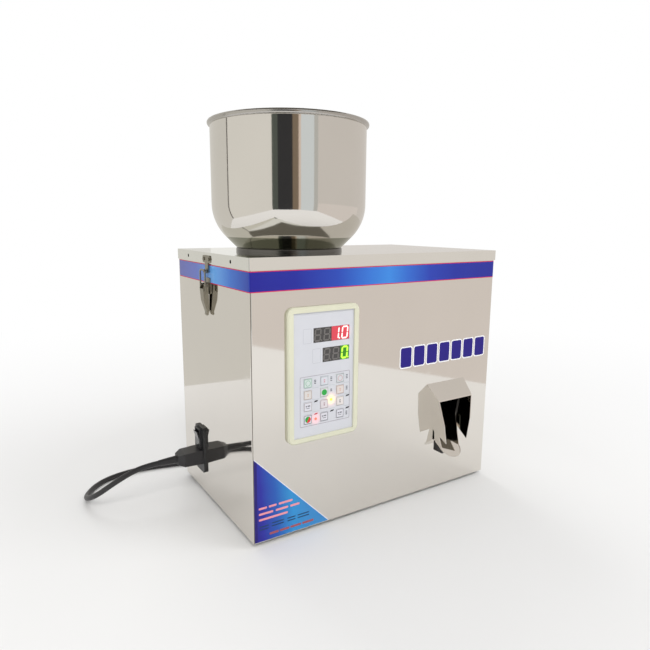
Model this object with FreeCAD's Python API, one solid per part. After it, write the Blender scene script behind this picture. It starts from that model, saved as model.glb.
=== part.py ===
"""Bench-top auger powder filler: a polished steel case with a lift-off lid and hopper,
a screw feeder, a weigh bucket with a drop flap, an outlet chute, a key panel and a mains lead.

Working frame: +Z up, +X to the right of the front, -Y out of the front, millimetres,
with Z = 0 on the surface that the feet stand on and X = Y = 0 in the middle of the case.
The parts are written in the row frame, which is the same frame moved along Y so that its
origin is under the middle of everything that the machine covers, lead and plug left out.
"""

import FreeCAD
import Part
import math
import os

V = FreeCAD.Vector
X, Y, Z = V(1, 0, 0), V(0, 1, 0), V(0, 0, 1)

# ---------------------------------------------------------------- driving dimensions
SHEET = 1.0                 # thickness of every steel sheet
FOOT_H = 6.0                # the feet lift the case off the bench
FOOT_R, FOOT_INSET = 9.0, 26.0
CASE_W = 380.0              # outside of the case walls
CASE_D = 230.0
CASE_H = 330.0              # from the case's lower edge to the top of its walls
BEND_R = 2.0                # outside radius of the case's upright bends
FLANGE = 11.0               # inward flanges round the case's top and back
PAN_RIM = 14.0              # upturned edge of the floor sheet
FIT = 0.2                   # clearance between sheets that slip over each other
RUN = 0.05                  # radial running clearance of every pin and shaft

LID_SKIRT = 13.5            # how far the lid's skirt hangs, lid plate included
LOCK_HOLE_R = 2.2           # lid locking holes, two in each end
LOCK_HOLE_PITCH = 140.0
LOCK_HOLE_Y = 2.0           # middle of the two
LOCK_HOLE_DROP = 7.0        # below the lid's top
LID_TRAVEL = 70.0

HOPPER_X, HOPPER_Y = -77.8, 0.0
HOPPER_R = 99.7             # outside of the bowl's upright wall
HOPPER_WALL = 1.2
HOPPER_RISE = 161.5         # top of the rim above the lid
BEAD_R = 3.2                # rolled rim
KNUCKLE_R = 58.6            # bend between the upright wall and the cone
KNUCKLE_RISE = 59.9         # where that bend starts, above the lid
NECK_R = 19.5               # outside of the outlet neck
NECK_L = 5.0
KNUCKLE_FLATS = 3           # flats that the bend is spun in
COLLAR_LEDGE = 5.63         # width of the seat ring between bowl and lid
COLLAR_H = 4.5
LID_HOLE_GAP = 1.5          # between the bowl's cone and the lid's hole

AUGER_DROP = 71.0           # screw axis below the lid's top
TUBE_R = 20.0               # bore of the feed tube
TUBE_WALL = 1.5
TUBE_FLANGE = 4.0           # how far its end flanges stand out
FLIGHT_GAP = 1.0            # running gap round the flight
SHAFT_R = 6.0
FLIGHT_T = 2.0
FLIGHT_PITCH = 30.0
FLIGHT_TURNS = 7.6
FLIGHT_STEPS = 12           # flat steps in one turn of the flight
TUBE_X0, TUBE_X1 = -124.0, 138.0
BUSH_WALL = 3.0
SPOUT_X = 105.5             # middle of spout, bucket, chute and hood
SPOUT_LX, SPOUT_LY = 34.0, 30.0
SPOUT_DROP = 18.0
PLATE_T = 2.0               # upright plates that carry the feeder
PLATE_W = 64.0
PLATE_HEAD = 9.0            # how far they stand above the tube
PLATE_FOOT = 18.0
PLATE_STILE = 14.0          # metal left beside each plate's window
PLATE_WINDOW_Z, PLATE_WINDOW_H = 100.0, 120.0   # middle above the case's lower edge, and height

GEAR_MODULE = 2.0
PINION_TEETH = 12
WHEEL_TEETH = 33
GEAR_W = 7.0
GEAR_GAP = 3.0              # between gears and upright plate
BACKLASH = 0.35
MOTOR_R = 18.5
GEARBOX_L, MOTOR_L = 24.0, 62.0
MOTOR_SHAFT_R = 3.0

BUCKET_LX, BUCKET_LY, BUCKET_H = 44.0, 50.0, 36.0
BUCKET_Y1 = -2.0            # rear wall of the bucket
BUCKET_GAP = 4.0            # between spout and bucket
FLAP_PIN_R = 1.5
FLAP_PIN_OUT = 3.0          # pin behind the bucket's rear wall
CELL_L, CELL_T = 75.0, 12.7
CELL_GAP = 16.0             # between the bucket's rear wall and the load cell
CELL_RISE = 16.0            # above the bucket's lower edge

CHUTE_SLOPE = 38.0          # degrees below level
CHUTE_REACH = 27.5          # how far its tongue stands out of the case
CHUTE_TIP_Z = 51.0          # lower end of its floor above the case's lower edge
CHUTE_TOP_Y = 2.0
CHUTE_W0, CHUTE_W1 = 58.0, 34.0             # width at the top end and at the tongue
CHUTE_WALL_H = 24.0
TONGUE_LIP = 0.4            # wall left at the tongue's end
STAND_Y = 26.0              # the chute's stand, behind the bucket's front wall

HOOD_TOP = 153.0            # heights above the case's lower edge
HOOD_NOSE_Z = 134.0
HOOD_BOTTOM = 73.0
HOOD_BACK_BOTTOM = 88.0
HOOD_W = 69.0               # width along its top
HOOD_TAPER = 0.182          # each cheek leans in by this much per mm of drop
HOOD_NOSE, HOOD_REACH = 20.5, 26.0          # how far its roof and its cheeks stand out

PANEL_X, PANEL_Z = -97.0, 193.0             # middle of the key panel
BEZEL_W, BEZEL_H, BEZEL_T = 99.0, 162.0, 5.0
BEZEL_R = 9.0
BEZEL_EDGE = 1.6
WINDOW_W, WINDOW_H = 84.0, 149.0
OVERLAY_T = 3.0
LEDGE = 3.0                 # sheet left behind the overlay's edge
KEY_SIZE, KEY_T = 10.5, 5.0
KEY_GAP = 0.3
KEY_PROUD = 0.5
KEY_TRAVEL = 0.4
KEY_PITCH_X = 22.6
KEY_X = -96.8               # middle column
KEY_ROWS = (184.0, 169.8, 155.4, 139.8)
DIGIT_PITCH, DISPLAY_H = 12.6, 17.4
DISPLAY_RIGHT = -61.5
DISPLAY_UPPER_Z, DISPLAY_LOWER_Z = 239.8, 215.3
LAMP_R, LAMP_PROUD = 1.6, 0.6
LAMPS = {"lamp_yellow": (-87.0, 159.3), "lamp_red": (-108.6, 138.9)}
BOARD_T, BOARD_GAP = 1.6, 1.5
BOARD_W, BOARD_H = 92.0, 157.0
PILLAR_R, PILLAR_INSET = 2.4, 2.6

LATCH_Y = 4.0
RIVET_DROP, RIVET_PITCH, RIVET_R = 8.0, 16.0, 2.2   # catch rivets, below the lid's top
CATCH_T, CATCH_W, CATCH_H = 1.2, 24.0, 9.0
HOOK_DROP, HOOK_W, HOOK_OUT = 25.0, 10.0, 3.6
PIVOT_OUT, PIVOT_DROP = 5.0, 39.0           # lever pin: off the wall, below the walls' top
PIVOT_R = 1.25
BAIL_OUT, BAIL_DROP = 7.5, 46.0             # where the bail turns in the lever
BAIL_R, BAIL_HALF, BAIL_L = 1.1, 8.2, 26.0
LEVER_HALF0, LEVER_HALF1 = 6.8, 3.0         # half width at its top and at its tip
LEVER_TOP_DROP, LEVER_TIP_DROP = 37.0, 77.0
LEVER_T = 0.9
BASE_T = 1.2

INLET_Y, INLET_Z = 49.0, 61.0               # middle of the mains inlet's flange
INLET_W, INLET_H, INLET_T = 30.0, 64.0, 3.0
INLET_BODY_W, INLET_BODY_H, INLET_DEPTH = 25.0, 58.0, 24.0
SOCKET_Z, SOCKET_W, SOCKET_H, SOCKET_DEPTH = 52.0, 22.4, 15.4, 17.0
ROCKER_Z, ROCKER_W, ROCKER_L = 77.0, 13.0, 22.0
ROCKER_TILT = 9.0
ROCKER_COLLAR = 3.0
CONNECTOR_L, CONNECTOR_W, CONNECTOR_H = 33.0, 26.5, 19.0
RELIEF_L = 24.0

FAN_X, FAN_Z = 96.0, 214.0
FAN_SIZE, FAN_T = 60.0, 15.0
FAN_BLADES = 7
FAN_HUB_R, FAN_RING = 11.0, 1.6
BLADE_PITCH = 35.0
SUPPLY_X, SUPPLY_Y = -96.0, 34.0            # left front corner of the power supply
SUPPLY_L, SUPPLY_W, SUPPLY_H = 98.0, 66.0, 36.0
SUPPLY_FIN_PITCH, SUPPLY_FINS = 8.0, 10

REAR_SCREW_R, REAR_HEAD_R, REAR_HEAD_H = 1.5, 3.4, 1.8

CORD_R = 3.5
COIL_X, COIL_Y = -84.0, 176.0
COIL_IN, COIL_OUT, COIL_H = 31.0, 45.0, 14.0
CORD_ROUTE = [
    (-275.0, 49.0, 58.0),
    (-305.0, 56.0, 42.0),
    (-330.0, 76.0, 18.0),
    (-336.0, 112.0, 3.6),
    (-308.0, 152.0, 3.6),
    (-258.0, 166.0, 3.6),
    (-206.0, 157.0, 3.6),
    (-154.0, 142.0, 3.6),
    (-110.0, 137.6, 3.6),
]

# ---------------------------------------------------------------- places that follow
CASE_Z0 = FOOT_H
CASE_Z1 = CASE_Z0 + CASE_H
LID_TOP = CASE_Z1 + SHEET
WALL_X = CASE_W / 2
FRONT_Y = -CASE_D / 2
BACK_Y = CASE_D / 2
LID_X = WALL_X + FIT + SHEET
LID_Y = BACK_Y + FIT + SHEET
FLOOR_Z = CASE_Z0 + SHEET
CHUTE_TIP_Y = FRONT_Y - CHUTE_REACH
TONGUE_Y = CHUTE_TIP_Y - TONGUE_LIP * math.sin(math.radians(CHUTE_SLOPE))
MID_Y = (TONGUE_Y + BACK_Y + REAR_HEAD_H) / 2
PIVOT_Z = CASE_H - PIVOT_DROP
BAIL_Z = CASE_H - BAIL_DROP
LEVER_TOP, LEVER_TIP = CASE_H - LEVER_TOP_DROP, CASE_H - LEVER_TIP_DROP

AUGER_Y = HOPPER_Y
AUGER_Z = LID_TOP - AUGER_DROP
TUBE_OUT_R = TUBE_R + TUBE_WALL
FLIGHT_R = TUBE_R - FLIGHT_GAP
BUSH_R = SHAFT_R + BUSH_WALL
MOTOR_Z = AUGER_Z - GEAR_MODULE * (PINION_TEETH + WHEEL_TEETH) / 2
LEFT_PLATE_X = TUBE_X0 - PLATE_T
GEAR_X = LEFT_PLATE_X - GEAR_GAP - GEAR_W
SPOUT_Z = AUGER_Z - TUBE_OUT_R - SPOUT_DROP
BUCKET_X0, BUCKET_X1 = SPOUT_X - BUCKET_LX / 2, SPOUT_X + BUCKET_LX / 2
BUCKET_Y0 = BUCKET_Y1 - BUCKET_LY
BUCKET_Z1 = SPOUT_Z - BUCKET_GAP
BUCKET_Z0 = BUCKET_Z1 - BUCKET_H
FLAP_PIN_Y, FLAP_PIN_Z = BUCKET_Y1 + FLAP_PIN_OUT, BUCKET_Z0 + 1.0
CELL_Y0, CELL_Z0 = BUCKET_Y1 + CELL_GAP, BUCKET_Z0 + CELL_RISE
OVERLAY_Y = FRONT_Y - OVERLAY_T
BOARD_Y = FRONT_Y + SHEET + BOARD_GAP
INLET_FACE = -WALL_X - INLET_T
COIL_MID = (COIL_IN + COIL_OUT) / 2


# ---------------------------------------------------------------- shape helpers
def box(x0, x1, y0, y1, z0, z1):
    return Part.makeBox(x1 - x0, y1 - y0, z1 - z0, V(x0, y0, z0))


def rod(radius, length, start, direction=Z):
    return Part.makeCylinder(radius, length, V(*start), direction)


def tube(outer, inner, length, start, direction=Z):
    return rod(outer, length, start, direction).cut(rod(inner, length, start, direction))


def prism(points, along):
    """Closed outline of straight sides, pushed along a vector."""
    return Part.Face(Part.makePolygon([*points, points[0]])).extrude(along)


def in_yz(x, points):
    return [V(x, y, z) for y, z in points]


def in_xz(y, points):
    return [V(x, y, z) for x, z in points]


def round_edges(shape, radius, direction):
    """Fillet the straight edges that run along a direction."""
    edges = [e for e in shape.Edges if abs(e.tangentAt(e.FirstParameter).dot(direction)) > 0.9]
    return shape.makeFillet(radius, edges)


def slab_xz(cx, cz, width, height, y0, y1, radius=0.0):
    """Upright slab parallel to the front wall, its corners rounded; cz is above the case's edge."""
    z = CASE_Z0 + cz
    slab = box(cx - width / 2, cx + width / 2, y0, y1, z - height / 2, z + height / 2)
    return round_edges(slab, radius, Y) if radius else slab


def slab_yz(cy, cz, width, height, x0, x1, radius=0.0):
    """Upright slab parallel to the case's ends."""
    z = CASE_Z0 + cz
    slab = box(x0, x1, cy - width / 2, cy + width / 2, z - height / 2, z + height / 2)
    return round_edges(slab, radius, X) if radius else slab


def fuse(shapes):
    first, *rest = shapes
    return first.multiFuse(rest).removeSplitter() if rest else first


def cut_all(shape, tools):
    return shape.cut(Part.makeCompound(tools)) if len(tools) == 1 else shape.cut(fuse(tools))


def mirrored(shape):
    """The same piece on the case's other end."""
    return shape.mirror(V(0, 0, 0), X)


def revolved(points, centre_x, centre_y):
    """Ring from a closed outline of (radius, z) points."""
    outline = Part.makePolygon([V(radius, 0, z) for radius, z in [*points, points[0]]])
    ring = Part.Face(outline).revolve(V(0, 0, 0), Z, 360)
    return ring.translated(V(centre_x, centre_y, 0))


def rounded_path(points, radii):
    """Straight runs joined by tangent arcs, one radius for each inner point."""
    points = [V(*p) for p in points]
    edges, here = [], points[0]
    for before, corner, after, radius in zip(points, points[1:], points[2:], radii):
        back, ahead = (before - corner).normalize(), (after - corner).normalize()
        half_turn = (math.pi - back.getAngle(ahead)) / 2
        reach = radius * math.tan(half_turn)
        start, end = corner + back * reach, corner + ahead * reach
        inward = (back + ahead).normalize()
        middle = corner + inward * (radius / math.cos(half_turn) - radius)
        edges.append(Part.LineSegment(here, start).toShape())
        edges.append(Part.Arc(start, middle, end).toShape())
        here = end
    edges.append(Part.LineSegment(here, points[-1]).toShape())
    return Part.Wire(edges)


def swept_round(path, radius):
    """Round bar along a path of runs and tangent arcs."""
    edge = path.Edges[0]
    start = edge.valueAt(edge.FirstParameter)
    circle = Part.Wire(Part.makeCircle(radius, start, edge.tangentAt(edge.FirstParameter)))
    return path.makePipeShell([circle], True, False)


# ---------------------------------------------------------------- case
def hood_lean(z):
    """How far each cheek has leaned in at a height above the case's lower edge."""
    return HOOD_TAPER * (HOOD_TOP - z)


def chute_under_z(y):
    """Lower face of the chute's floor in the working frame."""
    slope = math.radians(CHUTE_SLOPE)
    return CASE_Z0 + CHUTE_TIP_Z + (y - CHUTE_TIP_Y) * math.tan(slope) - SHEET / math.cos(slope)


def chute_opening():
    """Hole in the front wall, inside the hood's cheeks and just under the chute."""
    inset = 3.0
    high, low = HOOD_TOP - inset, HOOD_BACK_BOTTOM + inset
    foot = chute_under_z(FRONT_Y + SHEET) - CASE_Z0 - FIT - SHEET
    half = HOOD_W / 2 - inset
    waist = half - hood_lean(low)
    outline = [(half - hood_lean(high), high), (waist, low), (waist, foot)]
    outline += [(-x, z) for x, z in reversed(outline)]
    points = [(SPOUT_X + x, CASE_Z0 + z) for x, z in outline]
    return prism(in_xz(FRONT_Y - SHEET, points), V(0, 3 * SHEET, 0))


def lock_holes():
    """Holes through lid skirt and case wall, two in each end."""
    z, past = LID_TOP - LOCK_HOLE_DROP, LID_X + SHEET
    rows = [LOCK_HOLE_Y + side * LOCK_HOLE_PITCH / 2 for side in (-1, 1)]
    return [rod(LOCK_HOLE_R, 2 * past, (-past, y, z), X) for y in rows]


def body_shell():
    """Left end, front and right end folded from one sheet, with flanges round top and back."""
    back = BACK_Y - SHEET
    outer = box(-WALL_X, WALL_X, FRONT_Y, back, CASE_Z0, CASE_Z1)
    corners = [
        e for e in outer.Edges
        if abs(e.tangentAt(e.FirstParameter).z) > 0.9 and e.CenterOfMass.y < 0
    ]
    outer = outer.makeFillet(BEND_R, corners)
    inner_x = WALL_X - SHEET
    room = box(-inner_x, inner_x, FRONT_Y + SHEET, back - SHEET, CASE_Z0 - SHEET, CASE_Z1 - SHEET)
    lip = FLANGE - SHEET
    mouth = box(-inner_x + lip, inner_x - lip, FRONT_Y + FLANGE, BACK_Y, CASE_Z0 - SHEET, CASE_Z1 + SHEET)
    panel_hole = slab_xz(
        PANEL_X, PANEL_Z, WINDOW_W - 2 * LEDGE, WINDOW_H - 2 * LEDGE, FRONT_Y - SHEET, FRONT_Y + 2 * SHEET)
    inlet_hole = slab_yz(
        INLET_Y, INLET_Z, INLET_BODY_W + 2 * FIT, INLET_BODY_H + 2 * FIT, -WALL_X - SHEET, -inner_x + SHEET)
    return cut_all(outer.cut(room).cut(mouth), [chute_opening(), panel_hole, inlet_hole, *lock_holes()])


def rear_screw_places():
    edge = FLANGE * 0.6
    middle, reach = CASE_Z0 + CASE_H / 2, CASE_H / 2 - 2 * FLANGE
    return [(side * (WALL_X - edge), middle + step * reach) for side in (-1, 1) for step in (-1, 0, 1)]


def rear_panel():
    """Screwed-on back with barred fan hole and a bank of vent slots."""
    panel = box(-WALL_X, WALL_X, BACK_Y - SHEET, BACK_Y, CASE_Z0, CASE_Z1)
    y, depth = BACK_Y - 2 * SHEET, 3 * SHEET
    fan_hole = slab_xz(FAN_X, FAN_Z, FAN_SIZE - 6.0, FAN_SIZE - 6.0, y, y + depth, FAN_SIZE / 2 - 4.0)
    slots = [slab_xz(-FAN_X, FAN_Z - 33.0 + 11.0 * n, 90.0, 4.0, y, y + depth) for n in range(7)]
    holes = [rod(REAR_SCREW_R, depth, (x, y, z), Y) for x, z in rear_screw_places()]
    bars = [
        slab_xz(FAN_X, FAN_Z + step * FAN_SIZE / 7.5, FAN_SIZE - 4.0, 2.4, BACK_Y - SHEET, BACK_Y)
        for step in range(-2, 3)
    ]
    return fuse([cut_all(panel, [fan_hole, *slots, *holes]), *bars])


def rear_screws():
    """Pan-head screws that hold the back on the side flanges."""
    screws = []
    for x, z in rear_screw_places():
        head = rod(REAR_HEAD_R, REAR_HEAD_H, (x, BACK_Y, z), Y)
        screws.append(head.fuse(rod(REAR_SCREW_R, SHEET, (x, BACK_Y - SHEET, z), Y)))
    return Part.makeCompound(screws)


def base_pan():
    """Floor sheet with upturned edges, inside the foot of the walls."""
    inset = SHEET + RUN
    x, y0, y1 = WALL_X - inset, FRONT_Y + inset, BACK_Y - SHEET - inset
    pan = box(-x, x, y0, y1, CASE_Z0, CASE_Z0 + PAN_RIM)
    return pan.cut(box(-x + SHEET, x - SHEET, y0 + SHEET, y1 - SHEET, FLOOR_Z, CASE_Z0 + 2 * PAN_RIM))


def rubber_feet():
    return Part.makeCompound([
        rod(FOOT_R, FOOT_H, (x * (WALL_X - FOOT_INSET), y * (BACK_Y - FOOT_INSET), 0))
        for x in (-1, 1) for y in (-1, 1)
    ])


# ---------------------------------------------------------------- lid and hopper
def knuckle_end():
    """Outer end of the bend, where the 45 degree cone begins: (radius, z)."""
    diagonal = KNUCKLE_R * math.sqrt(0.5)
    return HOPPER_R - KNUCKLE_R + diagonal, LID_TOP + KNUCKLE_RISE - diagonal


def cone_radius(z):
    radius, start = knuckle_end()
    return radius - (start - z)


def cone_z(radius):
    end_radius, start = knuckle_end()
    return start - (end_radius - radius)


def knuckle(inset):
    """Points down the bend from the upright wall to the cone."""
    centre, bend_z, radius = HOPPER_R - KNUCKLE_R, LID_TOP + KNUCKLE_RISE, KNUCKLE_R - inset
    turns = [math.radians(45.0 * n / KNUCKLE_FLATS) for n in range(KNUCKLE_FLATS + 1)]
    return [(centre + radius * math.cos(turn), bend_z - radius * math.sin(turn)) for turn in turns]


def hopper_bowl():
    """Spun bowl: rolled rim, upright wall, bend, 45 degree cone and outlet neck."""
    bead_z = LID_TOP + HOPPER_RISE - BEAD_R
    t = HOPPER_WALL
    neck_top = cone_z(NECK_R)
    inner_neck_top = neck_top + t * (math.sqrt(2) - 1)
    neck_end = neck_top - NECK_L
    slant = BEAD_R * math.sqrt(0.5)
    outline = [
        (NECK_R, neck_end),
        (NECK_R, neck_top),
        *reversed(knuckle(0.0)),
        (HOPPER_R, bead_z - BEAD_R),
        (HOPPER_R + slant, bead_z - slant),
        (HOPPER_R + BEAD_R, bead_z),
        (HOPPER_R + slant, bead_z + slant),
        (HOPPER_R, bead_z + BEAD_R),
        (HOPPER_R - t, bead_z + BEAD_R - t / 2),
        *knuckle(t),
        (NECK_R - t, inner_neck_top),
        (NECK_R - t, neck_end),
    ]
    return revolved(outline, HOPPER_X, HOPPER_Y)


def hopper_collar():
    """Seat ring on the lid: the bowl's cone rests in it."""
    top = LID_TOP + COLLAR_H
    seat = RUN * math.sqrt(2)
    outside = cone_radius(LID_TOP) + COLLAR_LEDGE
    outline = [
        (cone_radius(LID_TOP) + seat, LID_TOP),
        (outside, LID_TOP),
        (outside, top),
        (cone_radius(top) + seat, top),
    ]
    return revolved(outline, HOPPER_X, HOPPER_Y)


def lid():
    """Folded cover with a skirt all round and the bowl's hole."""
    outer = box(-LID_X, LID_X, -LID_Y, LID_Y, LID_TOP - LID_SKIRT, LID_TOP)
    outer = round_edges(outer, SHEET, Z)
    x, y = LID_X - SHEET, LID_Y - SHEET
    cover = outer.cut(box(-x, x, -y, y, LID_TOP - LID_SKIRT - SHEET, LID_TOP - SHEET))
    bowl_hole = rod(cone_radius(LID_TOP) + LID_HOLE_GAP, 3 * SHEET, (HOPPER_X, HOPPER_Y, LID_TOP - 2 * SHEET))
    return cut_all(cover, [bowl_hole, *lock_holes()])


# ---------------------------------------------------------------- toggle latches
def on_end(points):
    """Outline of (out from the case's left end, height above the case's edge) points."""
    return [(-WALL_X - out, CASE_Z0 + z) for out, z in points]


def latch_catch():
    """Riveted plate on the lid's skirt with a tongue that ends in a hook."""
    face = LID_X - WALL_X
    lid_z = LID_TOP - CASE_Z0
    rivet_z = lid_z - RIVET_DROP
    plate = slab_yz(
        LATCH_Y, rivet_z, CATCH_W, CATCH_H, -WALL_X - face - CATCH_T, -WALL_X - face, 2.5)
    hook_z = lid_z - HOOK_DROP
    outline = [
        (face, rivet_z), (face, hook_z + 1.0), (face + 1.0, hook_z), (face + HOOK_OUT, hook_z),
        (face + HOOK_OUT, hook_z + 4.0), (face + HOOK_OUT - CATCH_T, hook_z + 4.0),
        (face + HOOK_OUT - CATCH_T, hook_z + CATCH_T), (face + CATCH_T, hook_z + CATCH_T),
        (face + CATCH_T, rivet_z),
    ]
    tongue = prism(in_xz(LATCH_Y - HOOK_W / 2, on_end(outline)), V(0, HOOK_W, 0))
    rivets = [
        rod(RIVET_R, 1.0, (-WALL_X - face - CATCH_T, LATCH_Y + side * RIVET_PITCH / 2, CASE_Z0 + rivet_z), -X)
        for side in (-1, 1)
    ]
    return fuse([plate, tongue, *rivets])


def latch_base():
    """Plate on the case's end with two ears and the lever's pin."""
    plate = slab_yz(LATCH_Y, PIVOT_Z - 1.0, 14.0, 20.0, -WALL_X - BASE_T, -WALL_X, 2.0)
    pin_at = (-WALL_X - PIVOT_OUT, LATCH_Y, CASE_Z0 + PIVOT_Z)
    ears = []
    for side in (-1, 1):
        y = LATCH_Y + side * 4.5
        x, z, r = pin_at[0], pin_at[2], 2.6
        ears.append(rod(r, 1.0, (x, y - 0.5, z), Y))
        ears.append(box(x, -WALL_X - BASE_T / 2, y - 0.5, y + 0.5, z - r, z + r))
    reach = LEVER_HALF0 + 0.1
    pin = rod(PIVOT_R, 2 * reach, (pin_at[0], LATCH_Y - reach, pin_at[2]), Y)
    return fuse([plate, *ears, pin])


def lever_half(z):
    """Outside half width of the lever at a height above the case's edge."""
    share = (LEVER_TOP - z) / (LEVER_TOP - LEVER_TIP)
    return LEVER_HALF0 + (LEVER_HALF1 - LEVER_HALF0) * share


def latch_lever():
    """Tapered channel that narrows to a curled finger tip."""
    waist = LEVER_TOP - 21.0
    side_view = [
        (3.4, LEVER_TOP), (7.0, LEVER_TOP), (9.6, LEVER_TOP - 5.0), (8.8, waist), (4.6, LEVER_TIP + 4.0),
        (5.2, LEVER_TIP + 1.6), (4.4, LEVER_TIP), (2.6, LEVER_TIP + 0.6), (1.2, LEVER_TIP + 6.0),
        (2.2, waist + 4.0),
    ]
    solid = prism(in_xz(LATCH_Y - 10, on_end(side_view)), V(0, 20, 0))

    def front_view(inset):
        top, tip = LEVER_TOP + 1, LEVER_TIP - 1
        corners = [
            (LATCH_Y - lever_half(top) + inset, top), (LATCH_Y + lever_half(top) - inset, top),
            (LATCH_Y + lever_half(tip) - inset, tip), (LATCH_Y - lever_half(tip) + inset, tip),
        ]
        outline = [(y, CASE_Z0 + z) for y, z in corners]
        return prism(in_yz(-WALL_X - 20, outline), V(20, 0, 0))

    channel = [
        (0.0, LEVER_TOP + 2), (12.0, LEVER_TOP + 2), (12.0, LEVER_TOP - 6.0), (9.5 - LEVER_T, LEVER_TOP - 6.0),
        (8.8 - LEVER_T, waist), (5.0 - LEVER_T, LEVER_TIP + 6.0), (0.0, LEVER_TIP + 6.0),
    ]
    room = prism(in_xz(LATCH_Y - 10, on_end(channel)), V(0, 20, 0)).common(front_view(LEVER_T))
    lever = solid.common(front_view(0.0)).cut(room)
    reach = LEVER_HALF0 + 2
    pin_hole = rod(PIVOT_R + RUN, 2 * reach, (-WALL_X - PIVOT_OUT, LATCH_Y - reach, CASE_Z0 + PIVOT_Z), Y)
    bail_holes = []
    for side in (-1, 1):
        inner = side * (lever_half(BAIL_Z) - LEVER_T - 0.4)
        start = (-WALL_X - BAIL_OUT, LATCH_Y + inner, CASE_Z0 + BAIL_Z)
        bail_holes.append(rod(BAIL_R + RUN, 3.0, start, Y * side))
    return cut_all(lever, [pin_hole, *bail_holes])


def latch_bail():
    """Wire loop: two pins in the lever, two legs and the bar that pulls on the hook."""
    x, z = -WALL_X - BAIL_OUT, CASE_Z0 + BAIL_Z
    inner = lever_half(BAIL_Z) - LEVER_T
    top, cant = z + BAIL_L, 2.2
    half = [(inner, z), (BAIL_HALF, z), (BAIL_HALF, top - cant), (BAIL_HALF - cant, top)]
    corners = [V(x, LATCH_Y - y, up) for y, up in half] + [V(x, LATCH_Y + y, up) for y, up in reversed(half)]
    circle = Part.Wire(Part.makeCircle(BAIL_R, corners[0], Y))
    return Part.makePolygon(corners).makePipeShell([circle], True, False, 1)


# ---------------------------------------------------------------- key panel
def key_places():
    """Middle of every key: three columns, four rows, from the top left."""
    return [(KEY_X + column * KEY_PITCH_X, z) for z in KEY_ROWS for column in (-1, 0, 1)]


def display_slab(digits, z, y0, y1, grow=0.0):
    width = digits * DIGIT_PITCH
    return slab_xz(DISPLAY_RIGHT - width / 2, z, width + 2 * grow, DISPLAY_H + 2 * grow, y0, y1)


def panel_bezel():
    """Moulded frame round the key panel, its outer edges eased."""
    y = FRONT_Y - BEZEL_T
    frame = slab_xz(PANEL_X, PANEL_Z, BEZEL_W, BEZEL_H, y, FRONT_Y, BEZEL_R)
    frame = frame.makeChamfer(BEZEL_EDGE, [e for e in frame.Edges if abs(e.BoundBox.YMax - y) < 0.01])
    return frame.cut(slab_xz(PANEL_X, PANEL_Z, WINDOW_W + 2 * RUN, WINDOW_H + 2 * RUN, y - 1, FRONT_Y + 1))


def panel_overlay():
    """Printed plate in the bezel with openings for readouts, keys and lamps."""
    plate = slab_xz(PANEL_X, PANEL_Z, WINDOW_W, WINDOW_H, OVERLAY_Y, FRONT_Y)
    y0, y1 = OVERLAY_Y - 1, FRONT_Y + 1
    opening = KEY_SIZE + 2 * KEY_GAP
    cuts = [slab_xz(x, z, opening, opening, y0, y1) for x, z in key_places()]
    cuts += [display_slab(4, DISPLAY_UPPER_Z, y0, y1, RUN), display_slab(3, DISPLAY_LOWER_Z, y0, y1, RUN)]
    cuts += [rod(LAMP_R + RUN, OVERLAY_T + 2, (x, y0, CASE_Z0 + z), Y) for x, z in LAMPS.values()]
    return cut_all(plate, cuts)


def key(place):
    """Square key with eased corners, standing just proud of the overlay."""
    y = OVERLAY_Y - KEY_PROUD
    block = slab_xz(*place, KEY_SIZE, KEY_SIZE, y, y + KEY_T)
    return block.makeChamfer(KEY_PROUD, [e for e in block.Edges if abs(e.BoundBox.YMax - y) < 0.01])


def lamp(place):
    x, z = place
    y = OVERLAY_Y - LAMP_PROUD
    return rod(LAMP_R, BOARD_Y - y, (x, y, CASE_Z0 + z), Y)


def display(digits, z):
    """Seven-segment readout block that stands on the board."""
    return display_slab(digits, z, OVERLAY_Y + 0.6, BOARD_Y)


def control_board():
    """Circuit board on four pillars behind the front wall, with relay and processor blocks."""
    board = slab_xz(PANEL_X, PANEL_Z, BOARD_W, BOARD_H, BOARD_Y, BOARD_Y + BOARD_T)
    pieces = [board]
    for side in (-1, 1):
        for end in (-1, 1):
            x = PANEL_X + side * (BOARD_W / 2 - PILLAR_INSET)
            z = CASE_Z0 + PANEL_Z + end * (BOARD_H / 2 - PILLAR_INSET)
            pieces.append(rod(PILLAR_R, BOARD_GAP, (x, FRONT_Y + SHEET, z), Y))
    back = BOARD_Y + BOARD_T
    pieces.append(slab_xz(PANEL_X - 20, PANEL_Z + 50, 19, 15, back, back + 15))
    pieces.append(slab_xz(PANEL_X + 18, PANEL_Z + 10, 30, 14, back, back + 4))
    pieces.append(slab_xz(PANEL_X, PANEL_Z - 66, 60, 9, back, back + 11))
    return fuse(pieces)


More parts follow.
